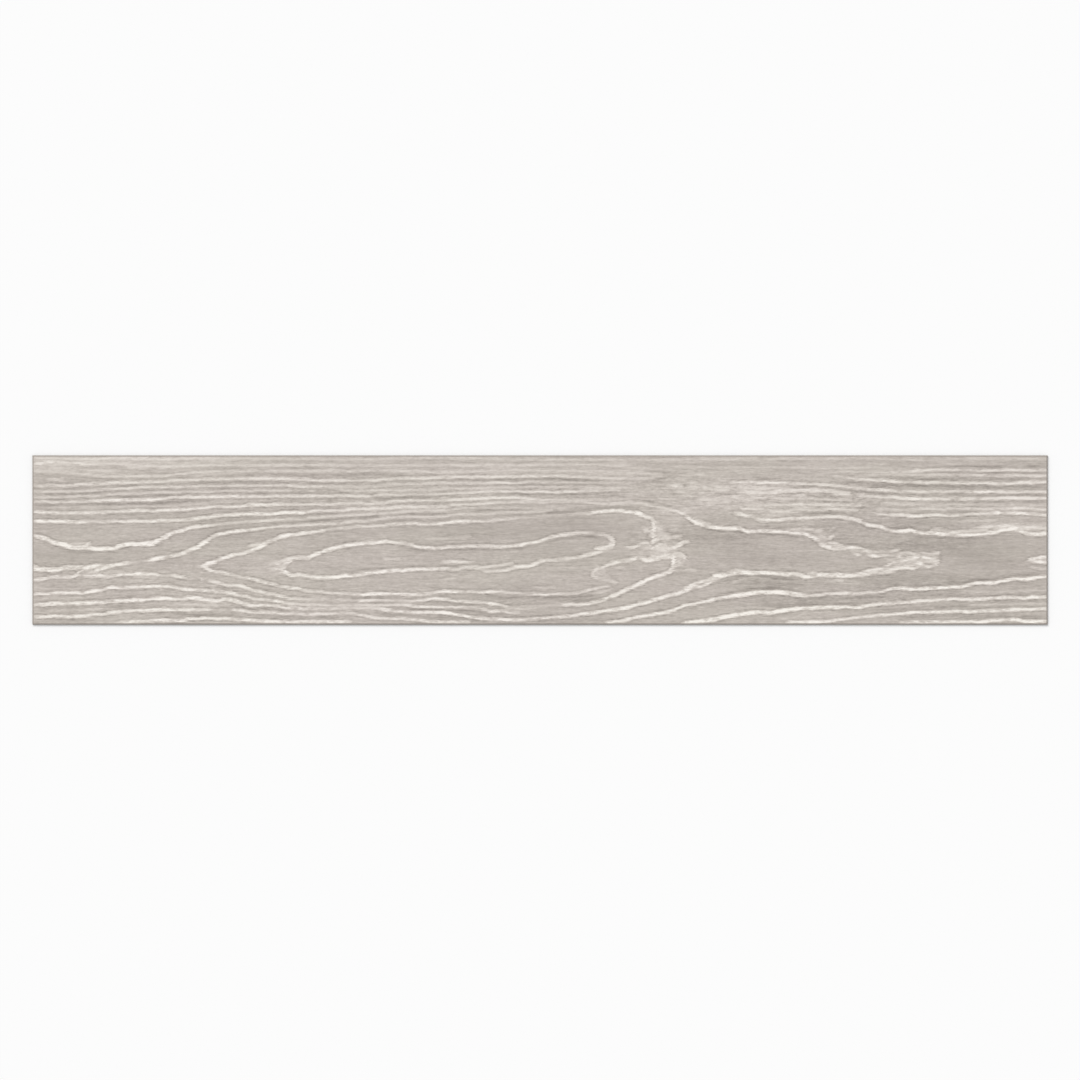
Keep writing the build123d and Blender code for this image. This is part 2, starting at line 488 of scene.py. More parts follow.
# %% The outer arch
ring((0.5, 0.85, 0.9, 0.95, 0.9, 0.7, 1.0, 1.0, 0.75, 0.75, 0.9, 1.0, 1.0, 0.7, 0.85, 0.95, 1.0,
      1.0, 0.95, 0.65, 0.85, 0.8), 2.5,
     (-309, -24), (-305, -23.8), (-301, -22.4), (-297, -20.8), (-292, -19.4), (-289, -17.4),
     (-286, -16), (-280, -14.8), (-276, -13), (-268, -12), (-263, -10.2), (-257, -8.2),
     (-251, -5.8), (-248, -3), (-245, -1), (-240, -0.2), (-236, 1.8), (-232, 3.4), (-227, 4.4),
     (-221, 5), (-215, 6), (-210, 6.6))
ring((0.9, 0.85, 0.7, 0.55, 0.65, 0.6, 0.75, 0.85, 0.75, 0.95, 0.85, 0.65), 2.0,
     (-210, 6.6), (-198, 8), (-190, 9.4), (-182, 10), (-170, 11.6), (-157, 12.5), (-143, 13),
     (-129, 14.2), (-115, 15.2), (-100, 13.8), (-89, 15.2), (-75, 16.5), (-60, 17), (-48, 17.2))
ring((0.8, 0.45, 0.25, 0.15, 0.2, 0.5), 1.9,
     (-48, 17.2), (-30, 18.8), (-20, 19.8), (-8, 20.6), (12, 21.9), (20, 22.4), (33, 23.6),
     (44, 24))
ring((0.7, 0.9, 1.0, 0.85, 0.95), 2.2,
     (44, 24), (48, 25), (60, 26), (65, 26.8), (75, 26), (84, 24.7))
ring((0.45, 0.65, 0.6, 0.45), 1.7, (-265, -6.2), (-259, -4.4), (-253, -4), (-247, -4.6))
ring((0.85, 0.9, 1.0, 0.8, 0.65, 0.8, 0.5, 0.55, 0.6, 0.3, 0.95, 0.75, 0.75, 0.9, 0.85), 2.2,
     (-305, -23.8), (-301, -25), (-296, -27), (-292, -28.6), (-288, -28.6), (-284, -29.8),
     (-279, -31.6), (-273, -32), (-268, -34), (-266, -34.2), (-263.6, -33.8), (-258, -35.4),
     (-250, -37.6), (-243, -39.4), (-237, -40.4))
ring((0.3, 0.6, 0.8, 0.8, 0.9, 0.3, 0.65, 0.6), 2.0,
     (-235, -41.6), (-233, -42), (-229, -41.8), (-224, -43.4), (-218, -43), (-216, -44.6),
     (-212, -45.4), (-203, -46.2))
ring((0.65, 0.65, 0.6, 1.0, 1.0, 0.9, 0.75, 0.6, 0.9, 0.95, 0.6, 0.9, 0.6, 0.5, 0.75, 0.8, 0.6,
      0.65, 0.6, 0.6, 0.6, 0.5), 1.9,
     (-203, -46.2), (-186, -47.6), (-170, -48.6), (-158, -49.2), (-152, -48.6), (-130, -48.3),
     (-115, -49.1), (-100, -48.2), (-90, -46.6), (-77, -46.4), (-60, -46.9), (-48, -46.8),
     (-34, -46.5), (-20, -48), (-7, -48.8), (5, -49), (20, -48.6), (33, -48), (40, -46),
     (48, -43.6), (55, -42.2), (63, -41))
ring(0.75, 2.2, (-304.2, -34.4), (-303.6, -36.4))
ring((0.6, 0.8, 0.75, 0.7, 0.6, 0.85, 0.8, 0.7, 0.8, 0.6, 0.5, 0.9, 0.7, 0.6, 0.5, 0.4, 0.4), 2.0,
     (-300, -36.6), (-293, -37.6), (-287, -39), (-282, -41), (-278, -41.2), (-271, -41),
     (-266, -42.4), (-261, -44.6), (-252, -46.4), (-246, -48), (-240, -48.8), (-236, -50.2),
     (-230, -51.6), (-223, -53.2), (-210, -53.2), (-190, -53.6), (-170, -53.8))
ring((0.6, 0.8, 0.6, 0.45, 0.7, 0.85, 0.9, 0.7, 0.75, 0.4, 0.95, 0.6, 0.7, 0.6, 0.3), 1.9,
     (-166, -54.6), (-160, -55), (-145, -54), (-130, -54.4), (-112, -54.9), (-100, -53.2),
     (-88, -53), (-75, -54.8), (-60, -55.8), (-52, -56.3), (-46, -57), (-36, -58.4), (-30, -60.2),
     (-20, -61.6), (-4, -61.9))
ring((0.3, 0.4, 0.5, 0.6, 0.75, 0.85, 0.8, 0.55, 0.5, 0.9, 0.8, 0.6, 0.3), 1.8,
     (-190, -59), (-175, -58.8), (-160, -58.5), (-143, -58.6), (-116, -58.4), (-111, -60.2),
     (-90, -60.2), (-63, -60.4), (-52, -61.4), (-46, -63.8), (-34, -64), (-28, -65.6), (-18, -65.9))
print(len(rings), "rings so far")

# %% [markdown]
# The inner arch is blunt: its tip is frayed into four short strands. Its upper arm runs on to the
# island, and its lower arm ends just short of it.

# %% The inner arch
ring((0.5, 0.75, 0.7, 0.8, 1.0, 0.9, 1.0, 0.9, 0.95, 0.8, 0.95, 0.9, 0.95, 0.9, 0.95, 1.0), 2.5,
     (-234, -18.6), (-228, -18), (-225, -17), (-222, -15.8), (-217, -16), (-213, -15.6),
     (-209, -16), (-205, -14.4), (-201, -12), (-198, -11.2), (-195, -9.8), (-190, -8.5),
     (-177, -5.3), (-160, -2.9), (-145, -2), (-140, -1.1))
ring((0.3, 0.5, 0.6, 0.5), 1.9, (-249, -24.6), (-243, -22.4), (-237, -20.2), (-231, -19))
ring((0.4, 0.75, 0.8, 0.8), 2.0, (-241, -19.8), (-236, -21.4), (-232, -23.6), (-230, -26.4))
ring((0.4, 0.8, 0.6), 1.9, (-243, -25), (-237, -26.4), (-232, -25.4))
ring((0.6, 0.8, 0.7), 2.0, (-232, -23), (-228, -21.4), (-224, -18.6))
ring((0.9, 0.65, 0.5, 0.85, 0.85, 0.8, 0.7, 0.7, 0.75, 0.8, 0.85, 0.9, 0.85, 0.85, 0.8), 2.3,
     (-140, -1.1), (-128, -2.7), (-121, -3.2), (-112, -5.5), (-101, -7.2), (-96, -7.6), (-79, -6.1),
     (-58, -5.3), (-48, -5.3), (-39, -6.1), (-32, -6.1), (-19, -4.4), (-5, -2.2), (1, -0.6),
     (6, 1.2))
ring((0.5, 0.7, 1.0, 0.95, 0.9, 0.7, 0.85, 0.85, 0.8, 0.9, 0.8, 0.5, 0.85, 1.0, 1.0, 0.6, 0.9, 1.0,
      1.0, 0.8, 0.9, 0.9, 0.85, 0.75, 0.7, 0.8, 0.65, 0.6, 0.4), 2.5,
     (-237, -29.6), (-233, -29), (-230.6, -27.4), (-228, -29.6), (-225, -31.8), (-222, -32),
     (-219, -31.2), (-214, -31.6), (-208, -33), (-203, -34), (-197, -34), (-194, -33.8),
     (-190, -33.8), (-181, -32.8), (-173, -31.8), (-170, -32.4), (-165, -31.4), (-155, -29.8),
     (-145, -28.6), (-135, -27.7), (-125, -27.2), (-112, -26.1), (-101, -26.1), (-88, -25.6),
     (-77, -26.5), (-68, -25), (-55, -24.6), (-42, -23.6), (-25, -20.8))
ring((0.4, 0.75, 0.7, 0.3), 2.2, (-90, -20), (-79, -19.5), (-70, -19.5), (-60, -19.9))
ring(0.45, 1.9, (-143, -17.6), (-134, -16.9), (-125, -17.3))
ring(0.3, 1.8, (-103, 1), (-90, 1.4), (-75, 1.9), (-62, 3.4))
ring(0.25, 1.8, (-90, -35.6), (-83, -35.2), (-76, -34.4))
ring(0.3, 1.6, (-8, -42.4), (2, -43.4), (14, -42.8))
print(len(rings), "rings so far")

# %% [markdown]
# Where a crown only just reaches the surface, its ring closes on itself like a contour line round
# a hilltop. This island is laid in four pieces, and the one next to the knot is the widest.

# %% The island
ring((0.8, 0.85, 0.7, 0.65, 0.6, 0.4, 0.65, 0.75), 2.5,
     (6, 1.2), (12.6, 3.7), (25, 5.3), (35, 6.3), (43, 6.6), (50, 6), (57, 4.8), (62, 3.4))
ring((0.5, 0.6, 0.8, 0.75, 0.75, 0.85, 0.5), 3.6,
     (60, 3.8), (64, 1), (66, -2), (64, -4.5), (60, -6.8), (56, -7.4), (51, -7.2))
ring((0.6, 0.75, 0.7, 0.65, 0.6, 0.4, 0.8), 2.4,
     (56, -9.4), (51, -11.6), (43, -13.2), (35, -15.3), (25, -17), (20, -17.5), (5.6, -18.2))
ring((0.7, 0.8, 0.85, 0.75, 0.65, 0.5), 2.3,
     (5.6, -18.2), (0, -19.2), (-4.5, -21.6), (-8.5, -23.2), (-20, -23.9), (-27, -26), (-35, -27.4),
     (-45, -28), (-52, -27.4))
print(len(rings), "rings so far")

# %% [markdown]
# A knot is where a branch grew out of the trunk. The rings part in front of it, and the fibres
# round it stand at all angles, so the brush tears them open and the lime lies in short smears. A
# few wide, faint strands make the smears, and narrow ones the fibres.

# %% The knot
ring((0.95, 0.95, 0.4, 0.75, 0.75, 0.5), 2.6,
     (84, 24.7), (89, 24), (91.4, 22.6), (94, 21.4), (98, 20.6), (101, 20.2))
ring((0.75, 0.75, 0.7, 0.85, 0.65, 0.7, 0.9, 0.6), 3.2,
     (100.5, 20.4), (102.3, 17), (102.6, 13.5), (103, 11), (102.3, 8), (102.6, 4), (102.8, 0),
     (102, -2.4))
ring((0.7, 0.55, 0.3), 2.0, (103, 11.6), (106, 11.2), (110, 9.6))
ring((0.3, 0.5, 0.5, 0.4), 3.4, (93, 11.6), (95, 9.8), (98, 7), (100.4, 4))
ring((0.3, 0.4, 0.3), 5.5, (104.6, 6.6), (109, 4.6), (114, 2.6))
ring((0.3, 0.45, 0.4), 5.5, (103.6, -8), (108.6, -7.4), (113.4, -8.8))
ring(0.35, 3.5, (92, -7), (97, -6.8))
ring((0.4, 0.45, 0.3), 4.5, (119.6, -12.6), (124, -13.4), (128, -14.6))
ring((0.9, 0.5, 0.45, 0.5, 0.4), 2.6, (103, -0.6), (108, 1), (114, 2), (120, 2.6), (126.5, 3.8))
ring((0.25, 0.4, 0.3), 1.8, (104, 6.4), (109, 7), (114, 5.6))
ring((0.6, 0.5, 0.6, 0.5, 0.5), 1.9, (88, -5), (91, -2.8), (95, -2.2), (98.6, -3.4), (99.6, -7))
ring((0.8, 0.75, 0.65, 0.5, 0.5, 0.5), 2.1,
     (99.8, -10.4), (102.5, -7), (106, -5), (110, -3.6), (113.4, -5.6), (115.4, -9))
ring((0.4, 0.65, 0.75, 0.75, 0.6, 0.35), 2.8,
     (111, -8.8), (116, -7.6), (121, -6.2), (125, -4.4), (129, -1.8), (133.4, -0.8))
ring((0.3, 0.5, 0.4), 1.8, (103, -10.6), (108, -9.4), (113, -10.8))
print(len(rings), "rings so far")

# %% [markdown]
# At the foot of the knot one wide ring closes it off. From there a bold ring runs away to the
# lower left, and a thinner one curls back under the island.

# %% The rings at the foot of the knot
ring((0.6, 0.8, 0.85, 0.7, 0.75, 0.7, 0.7, 0.5), 4.0,
     (89, -15.8), (93, -17.6), (97, -17.8), (101, -16.8), (104, -16.2), (108, -15.6), (112, -14.4),
     (117, -15.4))
ring((0.5, 0.8, 0.95, 0.6, 0.7, 0.85, 0.8, 0.9, 1.0, 0.95, 0.9, 0.75, 0.8, 0.85, 0.8), 2.9,
     (117.4, -12), (120, -15), (120.6, -18.6), (119.8, -23.4), (118.6, -27), (116, -29.4),
     (110, -31), (105.5, -32.4), (99.6, -34.4), (93.8, -37.3), (87.9, -40.4), (83.2, -42.4),
     (76, -45.4), (69, -49), (63.2, -51.2))
ring((0.85, 0.85, 0.7), 2.1,
     (63.2, -51.2), (58.5, -53.2), (52.6, -55.5), (46.7, -56.9), (37.3, -57.8), (20, -58.5))
ring(0.2, 1.8, (20, -58.5), (0, -59.2), (-15, -59.4))
ring((0.5, 0.6, 0.55, 0.8, 0.5), 1.8,
     (120, -13.4), (125, -11.8), (128.6, -13), (130.4, -15.6), (130, -18))
ring((0.35, 0.55, 0.45), 2.2, (124.6, -14.4), (126, -18.6), (124, -23.4))
ring((0.3, 0.35, 0.2), 1.7, (129, -27.8), (134, -26), (141, -27.4))
ring((0.85, 0.8, 0.45, 0.8, 0.75, 0.6, 0.55), 2.6,
     (88, -15.4), (82, -17.8), (76, -18.8), (69, -19.6), (63.2, -21.3), (59, -23.4), (56, -25.4))
ring((0.4, 0.6, 0.5, 0.5, 0.4, 0.3, 0.4, 0.3), 2.3,
     (57, -24.4), (51, -26.4), (47.6, -29.4), (46.6, -32), (51, -34.4), (57, -35.8), (64, -36.6),
     (69, -38.6))
ring((0.4, 0.7, 0.85, 0.6), 2.0, (76, -7), (80, -6.8), (85, -6.2), (89, -5))
ring(0.4, 1.8, (68, -24.6), (74, -24.2))
ring(0.35, 1.8, (48, -48.4), (56, -46.4), (64, -44.6))
print(len(rings), "rings so far")

# %% [markdown]
# One ring passes over the knot and falls slowly to the right. It ends in a tuft, where the saw
# grazed a crown and the brush spread its fibres like a fan, and a thin ring goes on from there.

# %% The ring over the knot and its tuft
ring((0.5, 0.45, 0.4, 0.5, 0.6, 0.4, 0.45, 0.7, 0.75, 0.85), 1.9,
     (61, 32.3), (75, 33.2), (84, 33.5), (91, 32.7), (96, 31.8), (102, 30.7), (110, 29),
     (121, 26.6), (126.7, 24.4), (130, 23.4))
ring((1.0, 0.9, 0.9, 0.85, 0.7, 1.0, 1.0, 0.8, 0.95, 1.0, 0.95, 0.75, 0.9, 0.95, 0.9, 0.85, 0.9,
      0.8), 2.5,
     (131.4, 21), (135, 18.8), (138.5, 16.6), (143, 14.4), (149, 12.9), (155, 11.4), (160, 11.4),
     (166, 10.4), (174, 10.8), (181, 10.6), (184.4, 8.4), (191, 7.8), (200, 8.2), (211, 8),
     (222, 7), (235, 6.2), (243, 4.2), (250, -0.2))
ring((0.3, 0.5, 0.4), 1.8, (139, 19.4), (145, 16.6), (152, 15.2))
ring((0.8, 0.9, 0.85, 0.8, 0.75), 3.0,
     (250.6, -1.6), (253, -3.8), (256.6, -5.4), (261.6, -6.4), (266, -8.2))
ring((0.5, 0.75, 0.7, 0.65, 0.75), 2.3,
     (257, -1.8), (262, -2.4), (267.6, -3.2), (270.6, -5), (274, -8))
ring((0.3, 0.4, 0.35), 4.0, (258, -4), (263, -4.8), (270, -7.4))
ring((0.45, 0.55, 0.45), 2.0, (222, 10), (236, 10), (246, 9.8))
ring((0.3, 0.5, 0.45, 0.35), 2.3, (247, 7.6), (250.4, 8.2), (253.4, 8.6), (255, 10))
ring((0.5, 0.55, 0.5), 2.2, (252.4, 5), (255.6, 3.8), (257.4, 0.8))
ring(0.4, 4.5, (252.6, 1.6), (257, 0.6))
ring((0.4, 0.6, 0.45), 2.0, (257.6, 0.2), (261, 1.6), (264.4, 3.6))
ring((0.25, 0.4, 0.4), 1.6, (258, 5.6), (262, 8.6), (264.4, 11))
ring((0.8, 0.9, 0.95, 0.85, 0.6), 2.0, (273, -8.6), (277.4, -7), (283, -6.4), (288, -7), (291, -9))
ring((0.3, 0.45, 0.4), 2.2, (277, -9.4), (283, -9.4), (289, -9.6))
ring((0.8, 0.85, 0.5, 0.4, 0.4, 0.6, 0.6), 2.1,
     (289, -9), (293, -9.8), (298, -10.6), (305, -11), (312, -10.6), (319, -9.6), (323, -8.8))
ring((0.5, 0.65, 0.5), 1.8, (282.6, -12.2), (286, -12.8), (289.6, -12.4))
print(len(rings), "rings so far")

# %% [markdown]
# The next tips are blunt and broad, several strands deep, and between the strands the wood is
# bare. All of them are short rings, most of them with their own whiteness at each point.

# %% The broad tips
ring((0.45, 0.9, 0.75, 0.5, 0.55), 1.9,
     (294, -13.4), (299, -14), (304, -14.6), (311, -13.6), (318, -14))
ring((0.6, 0.85, 0.85), 1.9, (320, -13.8), (323, -14.6), (326, -16.2))
ring((0.4, 0.6, 0.55, 0.6, 0.4), 1.8,
     (322.6, -13.2), (327.6, -11.6), (333, -11.4), (337, -12.6), (339.6, -14))
ring((0.3, 0.5, 0.45, 0.5, 0.8, 0.8), 1.8,
     (341, -12.6), (345, -11.4), (349, -12.6), (353, -12.2), (357.4, -11.2), (359.4, -12.8))
ring((0.7, 0.9, 1.0, 1.0, 1.0), 2.2,
     (324, -19.8), (328, -18.6), (331, -17), (335, -16.2), (340.6, -15.8))
ring((0.5, 0.9, 0.9, 0.5, 0.5), 1.8,
     (342.6, -17), (346, -15.8), (349.6, -16), (353, -16.8), (357, -15.8))
ring((0.6, 0.95, 0.7), 2.6, (337, -21.2), (341, -20.6), (343.6, -21.6))
ring((0.5, 0.75, 0.7, 0.75), 1.8, (344.4, -20), (349, -19), (354, -19.2), (359, -18.8))
ring((0.55, 0.75, 0.8, 0.75, 0.7), 1.9,
     (343.4, -22.6), (347, -23.8), (351, -24.4), (355, -22.6), (358.4, -20.4))
ring((0.25, 0.4, 0.3), 1.6, (312, -17.8), (315, -18.4), (318, -17.8))
ring((0.5, 0.7), 1.9, (319.4, -17), (319.4, -19.4))
ring((0.6, 0.75, 0.65, 0.6), 1.8, (310.6, -24.6), (314.6, -22.6), (317.6, -21), (319.6, -18.8))
ring((0.4, 0.6, 0.5, 0.6), 1.6, (321.6, -25), (327, -23), (331.6, -22.8), (335, -24.2))
ring((0.8, 0.8, 0.85, 0.8, 0.8, 0.75, 0.85, 0.8, 0.7, 0.6, 0.7), 2.4,
     (291, -28.8), (298, -27.2), (306, -26.2), (312, -26.8), (319, -26.6), (322, -25.2),
     (327, -24.8), (333, -25.4), (337, -26), (340, -24.4), (341.4, -22))
ring((0.8, 0.75, 0.6, 0.6, 0.55, 0.3), 2.6,
     (286, -32), (292, -31.2), (299, -29.8), (307, -29.2), (314, -29), (320, -27.6))
ring((0.3, 0.6, 0.9, 0.95, 0.9), 2.2,
     (437, -20.6), (439, -18.6), (442, -17.2), (451, -16.1), (457, -15.5))
ring((0.5, 0.9, 0.95), 2.2, (439, -19.4), (447, -19.4), (457, -20))
ring(0.45, 1.7, (440, -23.4), (448, -25.4), (457, -26))
print(len(rings), "rings so far")

# %% [markdown]
# Above the tips a ring wanders in waves to the right end. It is laid as a chain of rings that
# overlap a little, because its lime jumps from one strand to the next.

# %% The wavy ring
ring((0.8, 0.9, 0.6, 0.75, 0.7, 0.3), 2.5,
     (175.6, 24), (179, 23.6), (182.6, 22.6), (186, 21.8), (190, 21.8), (193, 21))
ring((0.6, 0.85, 0.9, 0.85, 0.7, 0.8, 0.75, 0.75, 0.75, 0.8, 0.8, 0.75, 0.7), 2.5,
     (193.6, 19.4), (198, 18.2), (205, 17.6), (213, 18), (219.5, 18.6), (231, 19.6), (250, 20.5),
     (262, 21), (272, 20.8), (278, 19.6), (284, 18.6), (288, 17.6), (290.6, 15.6))
ring((0.6, 0.8, 0.85, 0.85, 0.85, 0.8, 0.6, 0.8, 0.95, 0.9, 1.0, 0.8, 0.6, 1.0, 1.0, 0.95, 0.9,
      0.8), 2.5,
     (290.6, 15.6), (293, 14.2), (298, 13.2), (303, 12.8), (307, 12.2), (309.4, 10.6), (312, 9.2),
     (318, 8.4), (325, 7.8), (330, 8.2), (333.4, 9.4), (337, 8), (339.4, 6.8), (343, 6.6),
     (350, 6.4), (357, 6.8), (361, 5.4), (366, 5.4))
ring((0.6, 0.55, 0.7), 2.0, (353, 9.4), (359, 9.8), (366, 9))
ring((0.8, 0.7, 0.5, 0.4, 0.5), 2.2, (366, 6.6), (373, 7.4), (382, 7.6), (393, 8.4), (403, 9.6))
ring((0.4, 0.6, 0.9, 0.9, 0.95, 0.8, 0.95, 1.0, 0.9, 0.9, 1.0, 0.8), 2.6,
     (367, 5.2), (373, 4.6), (378, 4.2), (385, 4.4), (392, 5.2), (399, 5.6), (405, 6.8), (412, 7.2),
     (416, 8.6), (421, 10), (426, 10.8), (430, 10.2))
ring((0.4, 0.6, 0.9, 0.75, 0.85, 0.9, 0.85), 2.6,
     (426, 9.2), (430, 8.6), (434, 7.6), (438, 6.4), (442, 5.4), (449, 5.4), (457, 6.4))
ring((0.3, 0.6, 0.75, 0.6, 0.75, 0.6, 0.4), 2.2,
     (392, 11), (399, 12), (405, 12.6), (411, 12.4), (416, 13.4), (421, 13), (428, 13.2))
ring((0.5, 0.7, 0.5, 0.45), 2.2, (432, 12), (438, 11.8), (446, 11.2), (457, 11))
ring(0.35, 1.6, (380, 17.8), (396, 17.6), (412, 18))
print(len(rings), "rings so far")

# %% [markdown]
# Above the knot the rings are rubbed out over a patch about 80 mm long. Only short, wide and
# faint strands of lime are left there.

# %% The worn patch above the knot
ring((0.4, 0.7, 0.5), 2.6, (117, 48.4), (122, 48.6), (128, 48.2))
ring((0.3, 0.45, 0.35), 2.0, (131, 51.4), (136, 52), (141, 51))
ring((0.35, 0.6, 0.4), 2.4, (131, 47.6), (136, 47), (142, 47.8))
ring((0.3, 0.45, 0.3), 2.6, (142, 48), (149, 46.8), (156, 46))
ring((0.3, 0.45, 0.3), 2.4, (142, 42), (149, 41.8), (156, 42))
ring((0.35, 0.5, 0.35), 2.6, (142, 37.4), (149, 36.8), (156, 36.6))
ring((0.3, 0.45, 0.3), 3.0, (142, 33), (149, 32.4), (156, 33))
ring((0.25, 0.35, 0.25), 7.0, (156, 35), (162, 36), (169, 35.6))
ring((0.25, 0.35, 0.25), 6.0, (156, 46), (162, 46.6), (168, 46))
ring((0.3, 0.6, 0.4), 2.2, (169, 39.4), (173, 39), (177, 38.6))
ring((0.3, 0.55, 0.5, 0.3), 3.4, (178, 47.6), (186, 47.8), (194, 47.4), (202, 46.6))
print(len(rings), "rings so far")

# %% [markdown]
# From the worn patch to the right end the rings run straight again. Here the lime comes and goes
# along them, which the lists of whiteness follow.

# %% The straight rings right of the worn patch
ring((0.75, 0.4, 0.6, 0.4, 0.55, 0.7, 0.45), 1.9,
     (180, 28.8), (197, 28.2), (201, 27.6), (211, 26.2), (222, 25.8), (229, 27.4), (250, 27.2),
     (258, 27.8), (266, 28), (286, 27))
ring((0.35, 0.4, 0.7, 0.55, 0.7, 0.5, 0.6), 1.9,
     (183, 31.6), (205, 32), (229, 32), (236, 32.6), (250, 31.9), (266, 32.2), (276, 31.6),
     (290, 31.2))
ring((0.4, 0.6, 0.5, 0.7, 0.55, 0.65, 0.45, 0.6, 0.45), 3.3,
     (178, 44.6), (184, 43.2), (205, 42.6), (212, 43.6), (222, 44.6), (250, 44.8), (262, 44.2),
     (276, 42), (279, 41.4))
ring((0.3, 0.5, 0.45, 0.5, 0.3), 1.8,
     (171, 38.8), (182, 37.8), (208, 38.1), (224, 37.4), (230, 38.4), (250, 37), (280, 36.4))
ring((0.4, 0.75, 0.8, 0.75, 0.5, 0.65, 0.55, 0.6), 1.9,
     (168, 51), (176, 52.2), (205, 52), (222, 51.4), (235, 50.4), (250, 50.4), (262, 49.4),
     (278, 47.8), (290, 46.4))
ring((0.6, 0.85, 0.6, 0.65, 0.55, 0.9, 0.65, 0.7), 2.0,
     (290, 46.4), (304, 45.2), (318, 44.8), (321, 43.8), (359, 43.8), (376, 43.9), (392, 43.3),
     (411, 43.9), (422, 43.3), (457, 43.4))
ring((0.3, 0.5, 0.75, 0.65, 0.9, 0.6, 0.75, 0.6, 0.75, 0.6, 0.8, 0.7), 2.1,
     (262, 57.4), (280, 56), (286, 54.8), (298, 54.6), (303, 53.6), (306, 54.6), (318, 53),
     (327, 52.4), (345, 51.7), (359, 52.2), (375, 51.5), (400, 51.5), (413, 50.8), (423, 51),
     (434, 51.9), (457, 52.2))
ring((0.5, 0.6, 0.7, 0.9, 0.85, 0.6, 0.7, 0.65, 0.8, 0.65), 2.3,
     (285, 40.4), (305, 38.8), (319, 38.6), (330, 37.6), (338, 37.2), (345, 37.2), (359, 37.2),
     (376, 37.4), (392, 37.2), (411, 37.6), (424, 37.8), (457, 37.8))
ring((0.4, 0.45, 0.35, 0.3, 0.25), 1.8,
     (308, 32.8), (316, 33), (332, 32.2), (345, 32.2), (360, 31.6), (380, 31.8), (457, 31.6))
ring((0.45, 0.5, 0.4, 0.55, 0.45, 0.5, 0.6, 0.5, 0.5, 0.75, 0.7, 0.5), 1.8,
     (303, 28.4), (318, 27.4), (333, 27), (346, 28.4), (358, 28), (375, 28.4), (400, 28),
     (412, 28.2), (420, 28.2), (426, 28.8), (440, 28.4), (457, 27.4))
ring((0.4, 0.6, 0.75, 0.8, 0.95, 0.8, 0.7, 0.85, 0.6, 0.8, 0.8, 0.6, 1.0, 0.3, 0.9, 0.9, 0.7,
      0.9), 2.0,
     (297, 24), (305, 23.4), (317, 22.6), (328, 22.8), (333, 21.6), (345, 21.8), (350, 22.4),
     (358, 22.8), (370, 22), (385, 23.4), (399, 23.6), (406, 24), (411, 24.6), (416, 24.4),
     (428, 24.4), (438, 23.8), (449, 23), (457, 22.7))
print(len(rings), "rings so far")

# %% [markdown]
# The sweep is the boldest figure of the plank. Its first ring comes along the bottom edge from
# the left, lifts off it in the middle and rises to the broad tips, in wide bands of packed lime.

# %% The sweep along the bottom edge
ring((1.0, 0.85, 0.75, 1.0, 0.95, 0.85, 0.95, 0.85, 0.8, 0.85, 0.8, 0.85, 0.8, 0.9, 0.9), 2.2,
     (-135, -63.4), (-128, -64.6), (-115, -65), (-85, -65.4), (-75, -67.1), (-60, -69.6),
     (-50, -70.5), (-33, -71.6), (-8, -71.6), (-4, -70.6), (7, -70), (20, -69), (33, -67.8),
     (37, -66.4), (49, -65.6))
ring((0.95, 0.9, 1.0, 0.9, 0.95, 1.0, 0.9, 0.8, 0.85), 2.5,
     (49, -65.6), (61, -63.4), (79, -60.8), (88, -57.9), (100, -54.9), (104, -53.2), (114, -50.6),
     (120, -49))
ring((0.85, 0.85, 0.95, 0.85, 0.85), 3.4,
     (119.6, -49), (126, -47.6), (131, -45.4), (136, -42.8), (140, -41.6))
ring((0.5, 0.8, 0.7, 0.9, 0.8, 0.6), 1.9,
     (128, -44.2), (134, -41.4), (139, -39), (144, -37.8), (149, -36.8), (154, -35.4))
ring((0.7, 0.9, 0.7, 0.85, 0.85), 2.1,
     (138, -42.8), (142, -42.8), (147, -41.2), (151, -39.6), (155, -36.6))
ring((0.8, 0.9, 1.0, 1.0, 0.85), 3.5,
     (154, -36), (157, -33.4), (161, -32.2), (165, -31.6), (168.6, -32))
ring((0.85, 0.9, 0.85, 1.0, 0.95, 1.0, 0.95, 0.75, 0.9, 0.6, 0.8, 0.9, 0.8, 0.4), 2.9,
     (168.6, -32), (173, -30.8), (178, -29.4), (184, -29.2), (191, -29.8), (200, -29.4),
     (208, -29.6), (214, -30), (222, -31), (229, -30.6), (234, -31), (239, -33.2), (242.6, -33.2),
     (245, -32.6))
ring((0.7, 0.8), 2.4, (242.6, -29.8), (246.6, -29.6))
ring((0.5, 0.9, 0.85, 0.95, 1.0, 0.9, 0.8, 0.8, 0.8, 0.75), 3.2,
     (247, -32.4), (251, -31.2), (258, -31.8), (264, -31.6), (268, -31.8), (274, -32), (280, -31.6),
     (286, -31.4), (291, -29.8), (297, -28.4))
ring((0.4, 0.75, 0.6, 0.4), 1.8, (169.6, -28.4), (176, -27.4), (183, -27.6), (188, -28.2))
ring((0.3, 0.45, 0.3), 1.8, (170, -39.4), (175, -37.8), (181, -36))
ring((0.3, 0.5, 0.3), 1.6, (262, -37), (267, -36.4), (273, -37.2))
print(len(rings), "rings so far")

# %% [markdown]
# The other rings of the sweep start on the bottom edge itself, where the plank was cut through
# them, and run side by side to the right end.

